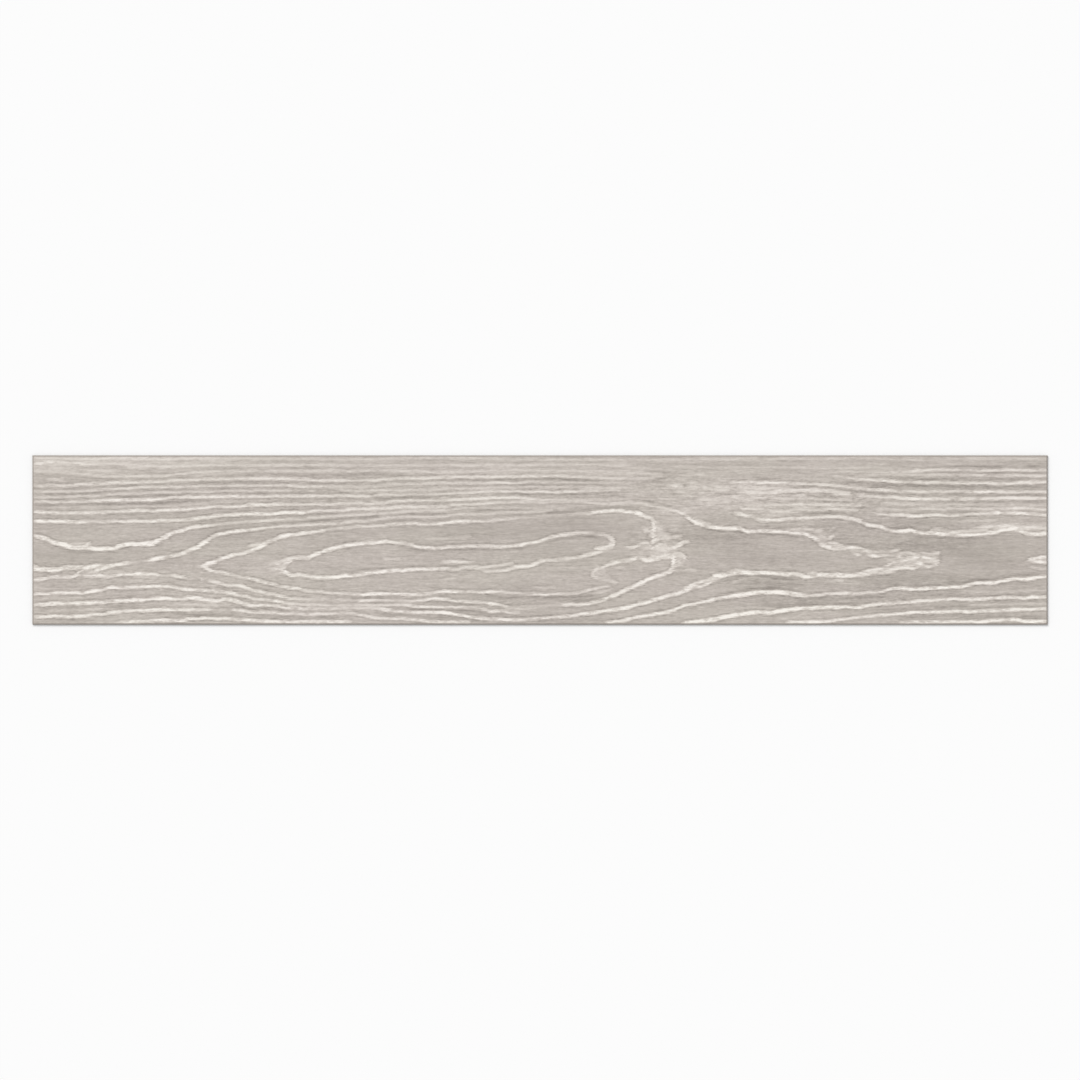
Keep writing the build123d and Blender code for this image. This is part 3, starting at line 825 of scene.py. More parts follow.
# %% The lower rings of the sweep
ring((0.95, 0.8, 0.9, 1.0, 0.95, 1.0, 0.85, 0.95, 1.0), 2.2,
     (59, -74.2), (68, -73.3), (75, -72.6), (82, -70.6), (92, -68.4), (101, -67.6), (104, -66.4),
     (114, -65.2), (120, -63.4), (127, -60.4), (130, -58.8), (140, -57.2), (150, -55.2),
     (160, -52.9), (169, -51.5))
ring((1.0, 0.9, 1.0, 0.9, 1.0, 0.95, 0.8), 3.2,
     (169, -51.4), (176, -49.8), (184, -49), (194, -47.4), (201, -47), (206, -47.4), (211, -46.4),
     (216, -47), (227, -48.2), (234, -49.6), (241, -50.2))
ring((0.75, 0.7, 0.8, 0.75, 0.7, 0.9, 0.95), 2.1,
     (241, -50.2), (250, -49.4), (262, -48.3), (285, -48), (297, -47.4), (307, -46.4), (314, -44.4),
     (319, -43.3))
ring((1.0, 0.9, 1.0, 1.0, 0.9, 0.95, 0.9, 1.0, 0.9), 2.4,
     (319, -43.3), (327, -43.4), (333, -44.1), (345, -43.8), (351, -43.2), (362, -42.8),
     (378, -41.8), (384, -40.8), (392, -38.9), (410, -38.3), (418, -36.6), (428, -34.8),
     (439, -35.2), (449, -33.5), (457, -32.6))
ring(1.0, 3.0,
     (129, -74.6), (141, -73.4), (149, -72.6), (156, -71.6), (163, -70), (170, -68.4), (179.5, -67),
     (186.6, -65.8), (197, -65), (210, -66), (214, -64.4), (222, -63), (232.5, -61.6))
ring((0.95, 1.0, 0.9, 0.95, 0.8, 0.9, 0.8, 0.75, 0.85, 0.8, 0.95, 0.7, 1.0, 0.8), 2.4,
     (232.5, -61.6), (250, -60.9), (262, -60.6), (274, -60), (283, -60.8), (290, -60), (297, -58.4),
     (310, -57.4), (328, -56.1), (349, -54.4), (360, -53.9), (371, -53), (385, -53.6), (402, -52.6),
     (413, -52), (427, -51.4), (435, -52.3), (445, -51.4), (457, -51.2))
ring((0.8, 1.0, 0.85, 0.8, 0.7, 0.8, 0.9, 0.95, 0.85, 0.9, 0.85, 0.9), 2.2,
     (222, -73.9), (238, -73.7), (252, -73.4), (262, -73), (268, -72), (279.5, -70.4), (288, -69.6),
     (304, -67.6), (322, -66.6), (331, -66.2), (335, -65), (359, -64.9), (376, -63.9), (385, -64.5),
     (411, -63.3), (429, -62.5), (457, -61.8))
ring((0.5, 0.9, 0.8, 0.95, 0.9, 0.9, 0.95, 1.0, 0.9), 2.2,
     (322, -74.2), (335, -73.8), (361, -73.8), (376, -73.4), (398, -73.4), (411, -72.2),
     (428, -71.6), (434, -73), (444, -73.2), (457, -73))
ring(0.3, 1.6, (380, -46.2), (410, -46.6), (440, -45.6), (457, -45.2))
ring(0.3, 1.6, (385, -58.8), (410, -58), (440, -57.6), (457, -57.2))
ring(0.3, 1.6, (270, -39.6), (282, -39), (292, -39.4))
print(len(rings), "rings so far")

# %% [markdown]
# Where the saw grazed the tip of a ring, the brush lifted a tuft of short fibres, and the lime
# caught in them. A tuft is given by its middle, its length and height, its slant, and how many
# strands it has. Their places are drawn from a seeded generator, so they're the same each time.

# %% What a tuft is
STRAND_WIDTHS = (1.0, 1.9)  # mm, of the thinnest and of the widest
STRAND_LEAN = 0.12  # how far a strand leans away from the slant of its tuft, at most
STRAND_BOW = 0.5  # mm, how far its middle strays, at most
STRAND_ENDS = 0.4  # how white its ends are, as a share of the tuft's whiteness

dice = np.random.default_rng(20)


def tuft(white, middle, length, height, slant, count, strand_length=8.5):
    """Adds the strands of a tuft to the rings, from the bottom of an oval to its top"""
    for strand in range(count):
        # Each strand has a share of the oval's height, and lies anywhere along it that it fits
        across = ((strand + dice.uniform(0.2, 0.8)) / count - 0.5) * height
        half = strand_length / 2 * dice.uniform(0.6, 1.4)
        room = max(length / 2 * math.sqrt(1 - (2 * across / height) ** 2) - half, 0.0)
        along = dice.uniform(-room, room)
        x = middle[0] + along
        y = middle[1] + across + slant * along
        lean = slant + dice.uniform(-STRAND_LEAN, STRAND_LEAN)
        whites = (STRAND_ENDS * white, white * dice.uniform(0.8, 1.2), STRAND_ENDS * white)
        bow = dice.uniform(-STRAND_BOW, STRAND_BOW)
        route = (x - half, y - lean * half), (x, y + bow), (x + half, y + lean * half)
        rings.append(Ring(whites, dice.uniform(*STRAND_WIDTHS), route))


# %% The tufts
tuft(0.4, (-240, -23), 20, 9, 0.1, 6)
tuft(0.4, (-406, -26), 24, 6, 0.15, 4)
tuft(0.4, (-416, -4.5), 28, 4, 0.0, 5)
tuft(0.3, (110, -6), 28, 20, 0.25, 9)
tuft(0.3, (106, 11), 14, 12, -0.3, 4)
tuft(0.3, (125, -18), 12, 12, -0.2, 4)
tuft(0.3, (60, -5), 18, 10, 0.3, 4)
tuft(0.3, (54, -29), 18, 12, -0.5, 5)
tuft(0.3, (254, 3), 22, 10, -0.35, 5)
tuft(0.35, (236, 9.5), 30, 4, 0.0, 3)
tuft(0.35, (334, -17), 46, 12, 0.1, 8)
tuft(0.4, (136, -42), 30, 5, 0.33, 4)
tuft(0.4, (160, -33.5), 20, 5, 0.3, 3)
tuft(0.4, (424, 12), 56, 6, 0.0, 9)
tuft(0.4, (450, -18), 14, 5, 0.0, 3)

# The rest are wide: the worn patch, the fields round it, and thin strands along the top edge
tuft(0.3, (140, 46), 80, 28, -0.05, 18, 13)
tuft(0.35, (215, 36), 80, 30, 0.0, 14, 16)
tuft(0.3, (120, 30), 50, 18, -0.2, 7, 11)
tuft(0.3, (-415, 65), 90, 16, 0.0, 10, 26)
tuft(0.35, (-400, 67), 100, 13, 0.0, 9, 6)
tuft(0.25, (-300, 66), 150, 14, 0.0, 12, 30)
tuft(0.2, (0, 66), 340, 16, 0.0, 22, 34)
tuft(0.2, (300, 67), 310, 16, 0.0, 20, 34)
print(len(rings), "limed rings and strands")

# %% [markdown]
# Beside some of the limed rings lies a band of dark late wood. These are curves too, kept in a
# list of their own, because they darken the print and stand a little lower than the wood round
# them, but hold no lime.

# %% What a dark band is
dark_bands = []


def dark_band(strength, width, *route):
    dark_bands.append(Ring(strength, width, route))


# %% [markdown]
# At the top left the dark bands lie between the limed rings, as the dense late wood of one year
# lies between two rows of open pores.

# %% The dark bands of the top left
dark_band(0.55, 1.8, (-455, 65), (-430, 65.8), (-400, 65.4), (-385, 66.4), (-372, 65.6))
dark_band(0.5, 1.8,
          (-392, 62.8), (-360, 62), (-343, 63.6), (-330, 63.6), (-300, 64.4), (-250, 64.4),
          (-190, 65))
dark_band(0.5, 1.8, (-457, 58.6), (-425, 57.8), (-400, 55.4), (-380, 55.2))
dark_band(0.4, 1.6, (-300, 70.6), (-270, 70.4), (-240, 70.6), (-200, 70.2))
dark_band(0.4, 1.6, (-430, 71.8), (-410, 71.4), (-380, 71))
dark_band(1.2, 2.0, (-387, 65.6), (-381, 65.3))
dark_band(1.2, 2.0, (-348, 64.3), (-343, 64))
dark_band(1.0, 2.2, (-427, 66), (-424, 62))
dark_band(1.0, 1.7, (-214, 66), (-208, 65.6))
dark_band((0.9, 1.0, 0.9, 0.6), 2.0,
          (-457, 31.4), (-400, 32.1), (-345, 32.6), (-335, 33.8), (-322, 34.6), (-305, 35.4),
          (-280, 36))
dark_band(0.7, 1.6,
          (-457, 46.4), (-415, 46.4), (-400, 47.4), (-385, 48.5), (-345, 50.2), (-318, 50.8),
          (-290, 51.8), (-250, 52.4), (-224, 51.6), (-200, 51.2), (-150, 51.4), (-130, 52.8),
          (-100, 53.2))
dark_band(0.7, 1.6,
          (-457, 41), (-427, 41.4), (-412, 42.3), (-400, 42.7), (-373, 44), (-345, 45.4),
          (-320, 45.8), (-290, 46.5), (-250, 47), (-225, 46.6))
dark_band((0.6, 0.7, 1.0, 0.9, 0.7, 0.7), 1.7,
          (-457, 36.6), (-427, 36.7), (-400, 37.5), (-373, 38.6), (-345, 39.8), (-333, 40.6),
          (-315, 41.6), (-290, 41.8), (-250, 41.7), (-200, 42), (-143, 42.2))
dark_band(0.5, 1.6, (-445, 22.6), (-400, 22.7), (-345, 23.4), (-320, 24.4))
dark_band(0.7, 1.7, (-300, 58), (-250, 58.7), (-141, 58.6), (-115, 58.4))
dark_band((0.6, 0.8, 1.0, 0.7), 1.6,
          (-100, 53.4), (-76, 53.8), (-45, 54), (-22, 54.8), (6, 55), (35, 54), (60, 53))
dark_band((0.8, 0.7, 0.9, 0.9, 0.6), 1.8,
          (-230, 36.6), (-200, 36.8), (-170, 37.2), (-150, 37), (-130, 37.8), (-115, 38.8),
          (-95, 39), (-75, 39.9))
dark_band(0.7, 1.5, (-76, 48.8), (-50, 49), (-20, 49.8), (6, 49.7), (40, 49.6))
dark_band(0.6, 1.4, (-70, 45), (-54, 45.2))
dark_band((0.8, 1.0, 1.0, 0.9, 0.8), 1.7,
          (-57, 40.8), (-40, 41.5), (-8, 41.4), (20, 41.2), (36, 41.6), (48, 42.2), (60, 43),
          (73, 43.4))
dark_band(1.0, 1.6, (58, 39.9), (66, 39.8), (74, 39.4))
dark_band(0.7, 1.6, (-48, 36.2), (-20, 36.2))
dark_band(0.7, 1.5,
          (-235, 21.6), (-213, 22.2), (-200, 23.6), (-183, 24), (-170, 25.2), (-141, 26.6))
dark_band((0.6, 1.0, 0.9, 0.6), 1.6,
          (-262, 12.6), (-240, 14.8), (-225, 16), (-210, 16.6), (-197, 18), (-183, 18.8),
          (-157, 20.4), (-141, 22), (-125, 22.8), (-89, 24), (-75, 25))
dark_band(0.7, 1.5,
          (-205, 11.6), (-190, 12), (-175, 14), (-160, 14.6), (-141, 16.6), (-115, 17.8), (-89, 18),
          (-75, 19.6), (-50, 20.4))
dark_band(1.0, 1.7, (-75, 26.6), (-50, 26.9), (-22, 27.2), (-6, 27.2))
dark_band((0.9, 0.9, 0.9, 1.0, 0.7), 1.6,
          (-45, 21.6), (-22, 22.7), (-7, 23.2), (8, 24.4), (20, 25), (33, 26.2), (48, 28),
          (60, 28.2), (75, 29.6), (90, 29.8))
print(len(dark_bands), "dark bands so far")

# %% [markdown]
# In the middle they follow the arms of the inner arch and the rings that sink to the bottom edge,
# and small ones give the knot its dark spots.

# %% The dark bands of the middle
dark_band(0.8, 1.8,
          (-128, -5.6), (-117, -7.4), (-101, -9.4), (-80, -8.9), (-40, -8.6), (-30, -8.4),
          (-15, -6.8), (6, -2.2), (20, 0.8), (35, 2.4), (48, 3), (58, 1.2))
dark_band(0.6, 1.5, (-182, -9.6), (-170, -7.2), (-155, -5.2), (-142, -3.9))
dark_band(0.7, 1.6,
          (-184, -29.6), (-170, -28.2), (-158, -27), (-130, -24.8), (-88, -23.2), (-60, -22.4))
dark_band(0.9, 1.6, (-162, -52.4), (-150, -51.8), (-142, -51.2))
dark_band((0.6, 1.0, 0.9, 0.9), 1.7,
          (-117, -57), (-95, -56.6), (-88, -55.6), (-75, -57.4), (-60, -58.5), (-50, -58.8))
dark_band((0.7, 1.0, 1.0, 0.8), 1.7,
          (-150, -59.9), (-130, -60.4), (-115, -62), (-100, -62.8), (-75, -63), (-60, -64),
          (-45, -66), (-20, -67.6))
dark_band(0.8, 1.6, (-157, -65.4), (-141, -66.4), (-125, -67.4), (-100, -69.6), (-76, -70))
dark_band(0.6, 1.6, (-262, -61.4), (-240, -62.8), (-225, -63.8), (-200, -64.1), (-183, -63.6))
dark_band(0.6, 1.6, (-245, -69.4), (-225, -69.4), (-197, -69.8), (-180, -69.2))
dark_band(0.5, 1.6, (-210, -49.4), (-197, -50), (-170, -51))
dark_band(0.9, 1.6, (-48, -61), (-40, -61.2), (-32, -62.2))
dark_band(0.8, 1.6, (-52, -50), (-20, -51.4), (6, -51.4), (30, -51.6), (48, -50), (60, -48))
dark_band(0.7, 1.5, (-10, -46), (8, -46.2))
dark_band(0.7, 1.6, (20, -55.6), (45, -54), (57, -51.2))
dark_band(1.0, 1.7, (62, -25), (66, -23.4), (72, -22.2), (80, -21.8))
dark_band(0.9, 2.0, (82, -19), (88, -18.6))
dark_band(0.8, 1.6, (-32, -17.8), (-23, -17.8))
dark_band(0.9, 1.8, (88, -0.2), (101, -0.2))
dark_band(0.8, 2.4, (115.4, -10.4), (117.6, -10.6))
dark_band(0.7, 2.4, (123, -10.2), (126, -10.4))
dark_band(0.8, 2.4, (128.4, -5), (131, -5.4))
dark_band(0.7, 2.4, (115.6, -18), (115.6, -21))
print(len(dark_bands), "dark bands so far")

# %% [markdown]
# On the right they run beside the straight rings again. The short ones are the dark gaps between
# the strands of the tuft.

# %% The dark bands of the right half
dark_band(0.8, 1.5, (100, 61.8), (116, 61.8))
dark_band(0.8, 1.5, (99, 55.4), (114, 55.2))
dark_band(0.8, 1.6, (84, 36.4), (90, 36), (100, 34.4), (112, 31.6))
dark_band(0.7, 1.8, (118, 46), (126, 46.4), (131, 49.6), (138, 49.8))
dark_band(0.6, 1.5, (182, 56), (198, 55.8))
dark_band((0.6, 0.7, 0.9, 0.8, 0.7, 0.8, 0.7), 1.9,
          (183, 49.6), (220, 48.6), (240, 48.4), (258, 46.9), (270, 45.4), (285, 44), (300, 42.6),
          (320, 41.9), (335, 40.9), (345, 41.2), (372, 41), (385, 41.4), (400, 40.9), (457, 40.7))
dark_band((0.6, 0.6, 1.0), 1.6, (196, 34.4), (212, 34.2), (229, 34.8), (241, 35.2))
dark_band(0.6, 1.5, (246, 34.6), (276, 34.4), (290, 33.8))
dark_band(1.0, 1.9, (235, 23.6), (246, 23.9), (258, 24.2), (277, 23.8))
dark_band(0.7, 1.6, (190, 12.4), (210, 12), (236, 12.6))
dark_band(0.9, 1.7, (190, 5.2), (207, 5), (225, 3.8), (238, 2.4))
dark_band((0.7, 0.9, 0.8, 0.75, 0.8), 2.4,
          (258, 52.4), (285, 51.4), (297, 50.2), (306, 49.2), (318, 49.5), (330, 49.2), (345, 48.5),
          (372, 48), (385, 48.6), (400, 47.4), (428, 47.8), (457, 47.4))
dark_band((0.5, 0.7, 0.7), 1.8,
          (275, 60.4), (300, 57.6), (320, 57), (340, 55.2), (372, 54.6), (385, 55), (400, 54.5),
          (457, 54.6))
dark_band(0.6, 1.5, (345, 34.8), (372, 34.4), (390, 34.5), (457, 34.5))
dark_band(0.7, 1.5, (345, 25.2), (358, 25), (372, 24.8), (400, 26))
dark_band((0.9, 0.7, 0.5, 0.45), 2.0,
          (200, -58.6), (222, -59.2), (236, -58.6), (250, -58), (275, -57.4), (292, -56.6))
dark_band(1.0, 1.8, (276, -3.8), (283, -3.6), (289, -4))
dark_band(0.9, 2.2, (254.4, 11.8), (256.6, 11.6))
dark_band(0.9, 2.2, (260, 11.8), (262.6, 11.6))
dark_band(0.8, 2.4, (256, 7.4), (259, 7))
dark_band(0.8, 2.2, (263, 8), (264.6, 7.8))
dark_band(0.6, 1.6, (264, 0.8), (277, 0.8))
dark_band(0.5, 1.6, (296, -7), (309, -7.4), (318, -6.8))
print(len(dark_bands), "dark bands so far")

# %% [markdown]
# The rest sit inside the tips of the arches, round the braid and beside the sweep, where they make
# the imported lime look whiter, and two run along the top right edge.

# %% The dark bands of the tips and the sweep
dark_band(1.0, 2.4, (-297, -23.4), (-292, -23.4))
dark_band(1.0, 2.4, (-227, -26.4), (-223.6, -27))
dark_band((0.7, 1.0, 0.7), 1.8, (-432, -28.6), (-428, -28.4), (-424, -27.6))
dark_band(0.7, 1.6, (-427, -36.2), (-412, -36))
dark_band(0.8, 1.5, (-387, -27), (-378, -26.2), (-371, -27))
dark_band(0.8, 1.4, (-361, -32), (-346, -32.6))
dark_band(0.7, 1.5, (-440, -50.4), (-415, -50.2), (-400, -49))
dark_band(0.7, 1.5, (-457, -51.4), (-441, -50.8))
dark_band(0.7, 1.5, (-457, -55.6), (-444, -54.8))
dark_band(0.6, 1.6, (-457, -61), (-420, -60.4), (-395, -59))
dark_band((0.7, 1.0, 0.9, 0.7), 1.9, (-330, -66.4), (-310, -67.8), (-290, -67.6), (-270, -68.6))
dark_band(0.7, 1.6, (-392, -60.6), (-378, -60.2), (-362, -59.8))
dark_band(0.8, 1.6, (-305, -8), (-299, -4))
dark_band(0.6, 1.6, (-430, -11), (-405, -11), (-382, -10.4))
dark_band(0.8, 1.6, (345, 66), (385, 66.2), (420, 65.8), (457, 66.2))
dark_band(0.8, 1.5, (345, 61), (380, 60.8), (420, 60.6), (457, 61))
dark_band((0.9, 0.8, 1.0, 0.7), 1.7,
          (158, -39.4), (166, -36.6), (175, -33.6), (183, -32), (196, -32), (210, -34.4),
          (222, -34.8), (234, -35.6))
dark_band((0.8, 0.8, 1.0, 1.0, 0.8), 1.8,
          (150, -51.6), (165, -48.6), (180, -45.6), (190, -44.4), (203, -43.4), (212, -43.4),
          (222, -44.6), (240, -47.2))
dark_band((0.5, 0.9, 0.7, 0.5, 0.6, 0.4), 1.5,
          (332, 4), (345, 3), (359, 2.2), (372, 1.4), (384, 1.6), (400, 3))
dark_band((0.5, 0.9, 0.9), 1.5, (417, 5.6), (424, 7.6), (428, 7))
dark_band((0.6, 0.9, 0.9), 1.7,
          (345, -40.4), (378, -38.6), (392, -35.8), (405, -35.2), (418, -33.2), (440, -31.4),
          (457, -29.8))
dark_band(0.45, 1.9,
          (255, -51.8), (290, -51.4), (320, -50.6), (345, -49.4), (371, -49.6), (400, -49))
dark_band(0.7, 1.7, (290, -63), (320, -62.4), (345, -60.6), (400, -60))
dark_band(0.7, 1.7, (318, -70.2), (345, -69.4), (400, -69), (457, -68.6))
dark_band(0.8, 1.6, (360, -13), (362, -16), (361, -20))
print(len(dark_bands), "dark bands")

# %% [markdown]
# The wood between the rings isn't one tone. It is paler along the top left and round the knot,
# and darker in the wide fields to the right. A few soft ovals, each with a centre, two radii and
# a lift, are enough for that. Each also says how much the grain is stirred up there: close rings
# and knots are busy, and the wide fields are calm.

# %% The broad tones
Field = namedtuple("Field", "x y length height lift stir")

fields = [
    Field(-400, 72, 130, 9, 0.15, 0.1),
    Field(-430, 65, 40, 5, 0.07, 0.3),
    Field(-100, 66, 300, 9, 0.035, -0.1),
    Field(300, 68, 300, 8, -0.025, -0.2),
    Field(-300, 40, 200, 14, 0.02, 0.4),
    Field(0, 46, 200, 12, 0.008, 0.4),
    Field(340, 42, 120, 16, 0.002, 0.5),
    Field(-430, -15, 50, 7, -0.10, -0.3),
    Field(-300, 10, 60, 10, -0.05, 0.0),
    Field(-90, 26, 130, 10, 0.04, 0.2),
    Field(-80, 9, 150, 7, -0.06, -0.3),
    Field(30, 14, 70, 12, -0.065, -0.3),
    Field(20, -8, 45, 8, -0.07, -0.3),
    Field(-20, -54, 50, 6, -0.095, 0.2),
    Field(20, -72, 60, 5, -0.10, 0.0),
    Field(112, -5, 22, 16, 0.08, 0.9),
    Field(150, 3, 55, 10, -0.115, 0.0),
    Field(200, -14, 60, 16, -0.075, -0.15),
    Field(175, 40, 80, 18, 0.055, 0.7),
    Field(205, -39, 45, 5, -0.15, 0.2),
    Field(235, -54, 60, 4, -0.13, 0.2),
    Field(255, 36, 50, 14, 0.01, 0.5),
    Field(280, 12, 40, 8, -0.08, 0.2),
    Field(330, -3, 60, 8, -0.14, 0.3),
    Field(330, 50, 90, 5, -0.07, 0.0),
    Field(400, -14, 60, 20, -0.11, -0.45),
    Field(345, -36, 60, 6, -0.13, 0.0),
    Field(350, 13, 50, 7, -0.08, 0.0),
    Field(425, 11.5, 38, 5, 0.19, 0.5),
    Field(370, -50, 120, 10, -0.07, 0.2),
    Field(337, -18, 20, 7, 0.09, 0.6),
    Field(-300, -50, 120, 18, 0.035, 0.5),
]
print(len(fields), "soft ovals")

# %% [markdown]
# Real wood is a bundle of fibres that run straight along the plank, and a slanting ring is a
# staircase of open pores in them. So the curves aren't drawn as they are. Every row of the mesh
# is one fibre, and each fibre slides the picture of the rings a few millimetres along itself.
# Rings that run with the fibres hardly change, and slanting ones and V tips turn ragged, as
# brushed and limed oak does.
#
# The face becomes a grid of these fibres. Its columns are drawn together where the rings turn
# across the plank, round the knot, and are wide elsewhere.

# %% The grid of fibres
COLUMN_STOPS = (-1.0, 0.0, 0.088, 0.307, 1.0)  # along the face, from its left end to its right
COLUMNS_BETWEEN = (169, 15, 100, 117)
FIBRE_WIDTH = 0.655  # mm

column_count = sum(COLUMNS_BETWEEN)
row_count = round(2 * face_half_width / MM / FIBRE_WIDTH)
column_numbers = np.arange(column_count + 1)
stop_numbers = np.concatenate([[0], np.cumsum(COLUMNS_BETWEEN)])
stop_places = np.array(COLUMN_STOPS) * face_half_length / MM
columns = np.interp(column_numbers, stop_numbers, stop_places)
rows = np.linspace(-face_half_width, face_half_width, row_count + 1) / MM
print(column_count, "columns and", row_count, "fibres")


def field_of(value_at):
    """The value of value_at(x, y) at every crossing of a column and a row"""
    return np.array([[value_at(x, y) for y in rows] for x in columns])


# %% [markdown]
# Noise slides the fibres. It is slow along a fibre and quick across, so that each fibre keeps its
# slide for a while and its neighbour has another. A second noise, taken from another place, lets
# the rings stray a little across the fibres, because no ring in wood is quite smooth.

# %% Slide the fibres
SLIDE = 3.4  # mm, the furthest that a fibre slides
SLIDE_RUN = 22.0  # mm along a fibre, over which its slide changes
SLIDE_STEP = 1.9  # how far apart two places that lie 1 mm apart across the fibres are in the noise
WOBBLE = 0.5  # mm, how far a ring strays across the fibres
WOBBLE_RUN = 8.0
WOBBLE_BREADTH = 12
SEED = 17.0
WOBBLE_SEED = SEED + 5

slides = field_of(lambda x, y: SLIDE * noise.noise((x / SLIDE_RUN, y * SLIDE_STEP, SEED)))
wobbles = field_of(
    lambda x, y: WOBBLE * noise.noise((x / WOBBLE_RUN, y / WOBBLE_BREADTH, WOBBLE_SEED))
)
seen_x = columns[:, None] + slides
seen_y = rows[None, :] + wobbles
print("fibres slide by up to", round(float(np.abs(slides).max()), 2), "mm")
print("rings stray by up to", round(float(np.abs(wobbles).max()), 2), "mm")

# %% [markdown]
# A ring's few points become a smooth curve through them. At each point the curve runs in the
# direction from the point before to the point after, and a cubic joins one point to the next.
# The curve is kept as places a few millimetres apart.


# %% A smooth curve through a route
def smooth_route(route, spacing=3.0):
    """Places on the smooth curve through a route, and how far each is along its list of points"""
    points = np.array(route, dtype=float)
    first = 2 * points[0] - points[1]
    last = 2 * points[-1] - points[-2]
    points = np.vstack([first, points, last])
    curve = []
    steps = []
    stretches = zip(points, points[1:], points[2:], points[3:])
    for number, (before, start, end, after) in enumerate(stretches):
        count = max(2, math.ceil(np.linalg.norm(end - start) / spacing))
        t = np.linspace(0, 1, count, endpoint=False)[:, None]
        bend = 2 * before - 5 * start + 4 * end - after
        twist = 3 * start - before - 3 * end + after
        curve.append(start + 0.5 * ((end - before) * t + bend * t**2 + twist * t**3))
        steps.append(number + t[:, 0])
    curve.append(points[-2:-1])
    steps.append([len(route) - 1])
    curve = np.vstack(curve)
    # Each place moves a little towards its two neighbours, which evens out small kinks
    curve[1:-1] = (curve[:-2] + 2 * curve[1:-1] + curve[2:]) / 4
    return curve, np.concatenate(steps)


first_ring = rings[0].route
print(len(first_ring), "points of the first ring become", len(smooth_route(first_ring)[0]), "places")

# %% [markdown]
# Real rings aren't drawn with a ruling pen. Noise swells and shrinks each of them along its
# length, it is wider where its lime is whiter than elsewhere, and at both ends its lime thins out.

# %% How a ring changes along its curve
SWELL = 0.3  # how much wider or narrower a ring gets, at most, as a share of its width
SWELL_RUN = 16  # mm
SWELL_APART = 3.7  # how far apart two rings are in the noise
RING_ENDS = 0.4  # how white a ring is at its very ends, as a share of its whiteness
WIDER_WITH_WHITE = 0.6  # how much wider it gets where its lime is whiter than on average


def along_ring(number, white, width, route, fade):
    """The curve of a ring, and its whiteness and half its width at each place on the curve

    Over the length of fade, in millimetres, a ring thins out at both of its ends.
    """
    curve, steps = smooth_route(route)
    lengths = np.concatenate([[0], np.cumsum(np.hypot(*np.diff(curve, axis=0).T))])
    from_end = np.minimum(lengths, lengths[-1] - lengths)
    thinning = np.clip(RING_ENDS + (1 - RING_ENDS) * from_end / fade, 0, 1)
    whites = np.atleast_1d(white)
    whites = np.interp(steps, np.linspace(0, len(route) - 1, len(whites)), whites) * thinning
    swell = [noise.noise((x / SWELL_RUN, number * SWELL_APART, SEED)) for x in curve[:, 0]]
    half_widths = width / 2 * (1 + SWELL * np.array(swell))
    half_widths = half_widths * (1 + WIDER_WITH_WHITE * (whites - whites.mean()))
    return curve, whites, half_widths


# %% [markdown]
# For each crossing of the grid, `reach` says how far inside the nearest ring it lies, in
# millimetres: half of the ring's width less the distance to its middle. It is above zero on the
# ring and falls below zero beside it. A smooth number like this one can be stored on a mesh's
# corners and still give a crisp edge in the shader. Where two rings meet, the whiter one shows,
# unless it is further away. Each ring only looks at the crossings near it, which keeps this
# quick.

# %% Lay the rings over the grid
NEAR = 5.0  # mm, the furthest that a ring is felt
FAR_OFF = -NEAR
WELL_INSIDE = 0.3  # mm, and further inside a ring than this only its whiteness counts
WHITE_COUNTS = 0.3  # mm that a full white ring may lie further away and still show


def window(places, start, end, margin):
    """The stretch of places that lies between start and end, widened by margin"""
    first = np.searchsorted(places, min(start, end) - margin)
    last = np.searchsorted(places, max(start, end) + margin)
    return slice(first, last)


def lay_rings(drawn, fade):
    """The reach and the whiteness of the ring that shows at each crossing"""
    reach = np.full(seen_x.shape, FAR_OFF)
    whiteness = np.zeros(seen_x.shape)
    standing = np.full(seen_x.shape, FAR_OFF)
    for number, (white, width, route) in enumerate(drawn):
        curve, whites, half_widths = along_ring(number, white, width, route, fade)
        for i in range(len(curve) - 1):
            start = curve[i]
            run = curve[i + 1] - start
            across = window(columns, start[0], start[0] + run[0], NEAR + SLIDE)
            along = window(rows, start[1], start[1] + run[1], NEAR + WOBBLE)
            x = seen_x[across, along] - start[0]
            y = seen_y[across, along] - start[1]
            t = np.clip((x * run[0] + y * run[1]) / (run @ run), 0, 1)
            inside = half_widths[i] - np.hypot(x - t * run[0], y - t * run[1])
            rank = np.minimum(inside, WELL_INSIDE) + WHITE_COUNTS * whites[i]
            wins = rank > standing[across, along]
            standing[across, along] = np.where(wins, rank, standing[across, along])
            reach[across, along] = np.where(wins, inside, reach[across, along])
            whiteness[across, along] = np.where(wins, whites[i], whiteness[across, along])
    return reach, whiteness


lime_reach, lime_white = lay_rings(rings, fade=3.0)
dark_reach, dark_strength = lay_rings(dark_bands, fade=15.0)
print("on limed rings", round(float((lime_reach > 0).mean()), 3), "of the face")
print("on dark bands", round(float((dark_reach > 0).mean()), 3), "of the face")

# %% [markdown]
# The soft ovals are added up at the crossings too. Each is strongest at its centre and fades
# evenly away, like a breath on glass, so that no edge of it shows in the print.

# %% Add up the broad tones
broad_tone = np.zeros(seen_x.shape)
stir = np.ones(seen_x.shape)
for field in fields:
    distance = ((columns[:, None] - field.x) / field.length) ** 2
    distance = distance + ((rows[None, :] - field.y) / field.height) ** 2
    broad_tone += field.lift * np.exp(-distance)
    stir += field.stir * np.exp(-distance)
for name, values in (("broad tones", broad_tone), ("stir", stir)):
    print(name, "from", round(float(values.min()), 3), "to", round(float(values.max()), 3))

# %% [markdown]
# The embossing is pressed in register with the print: the plate is highest where a pore or a
# ring was brushed open. It only ever goes down from the gauge, so the plank stays as thick as
# the blank. The rings are the deepest, the late wood is less than half as deep, and every fibre
# dips a little by itself.

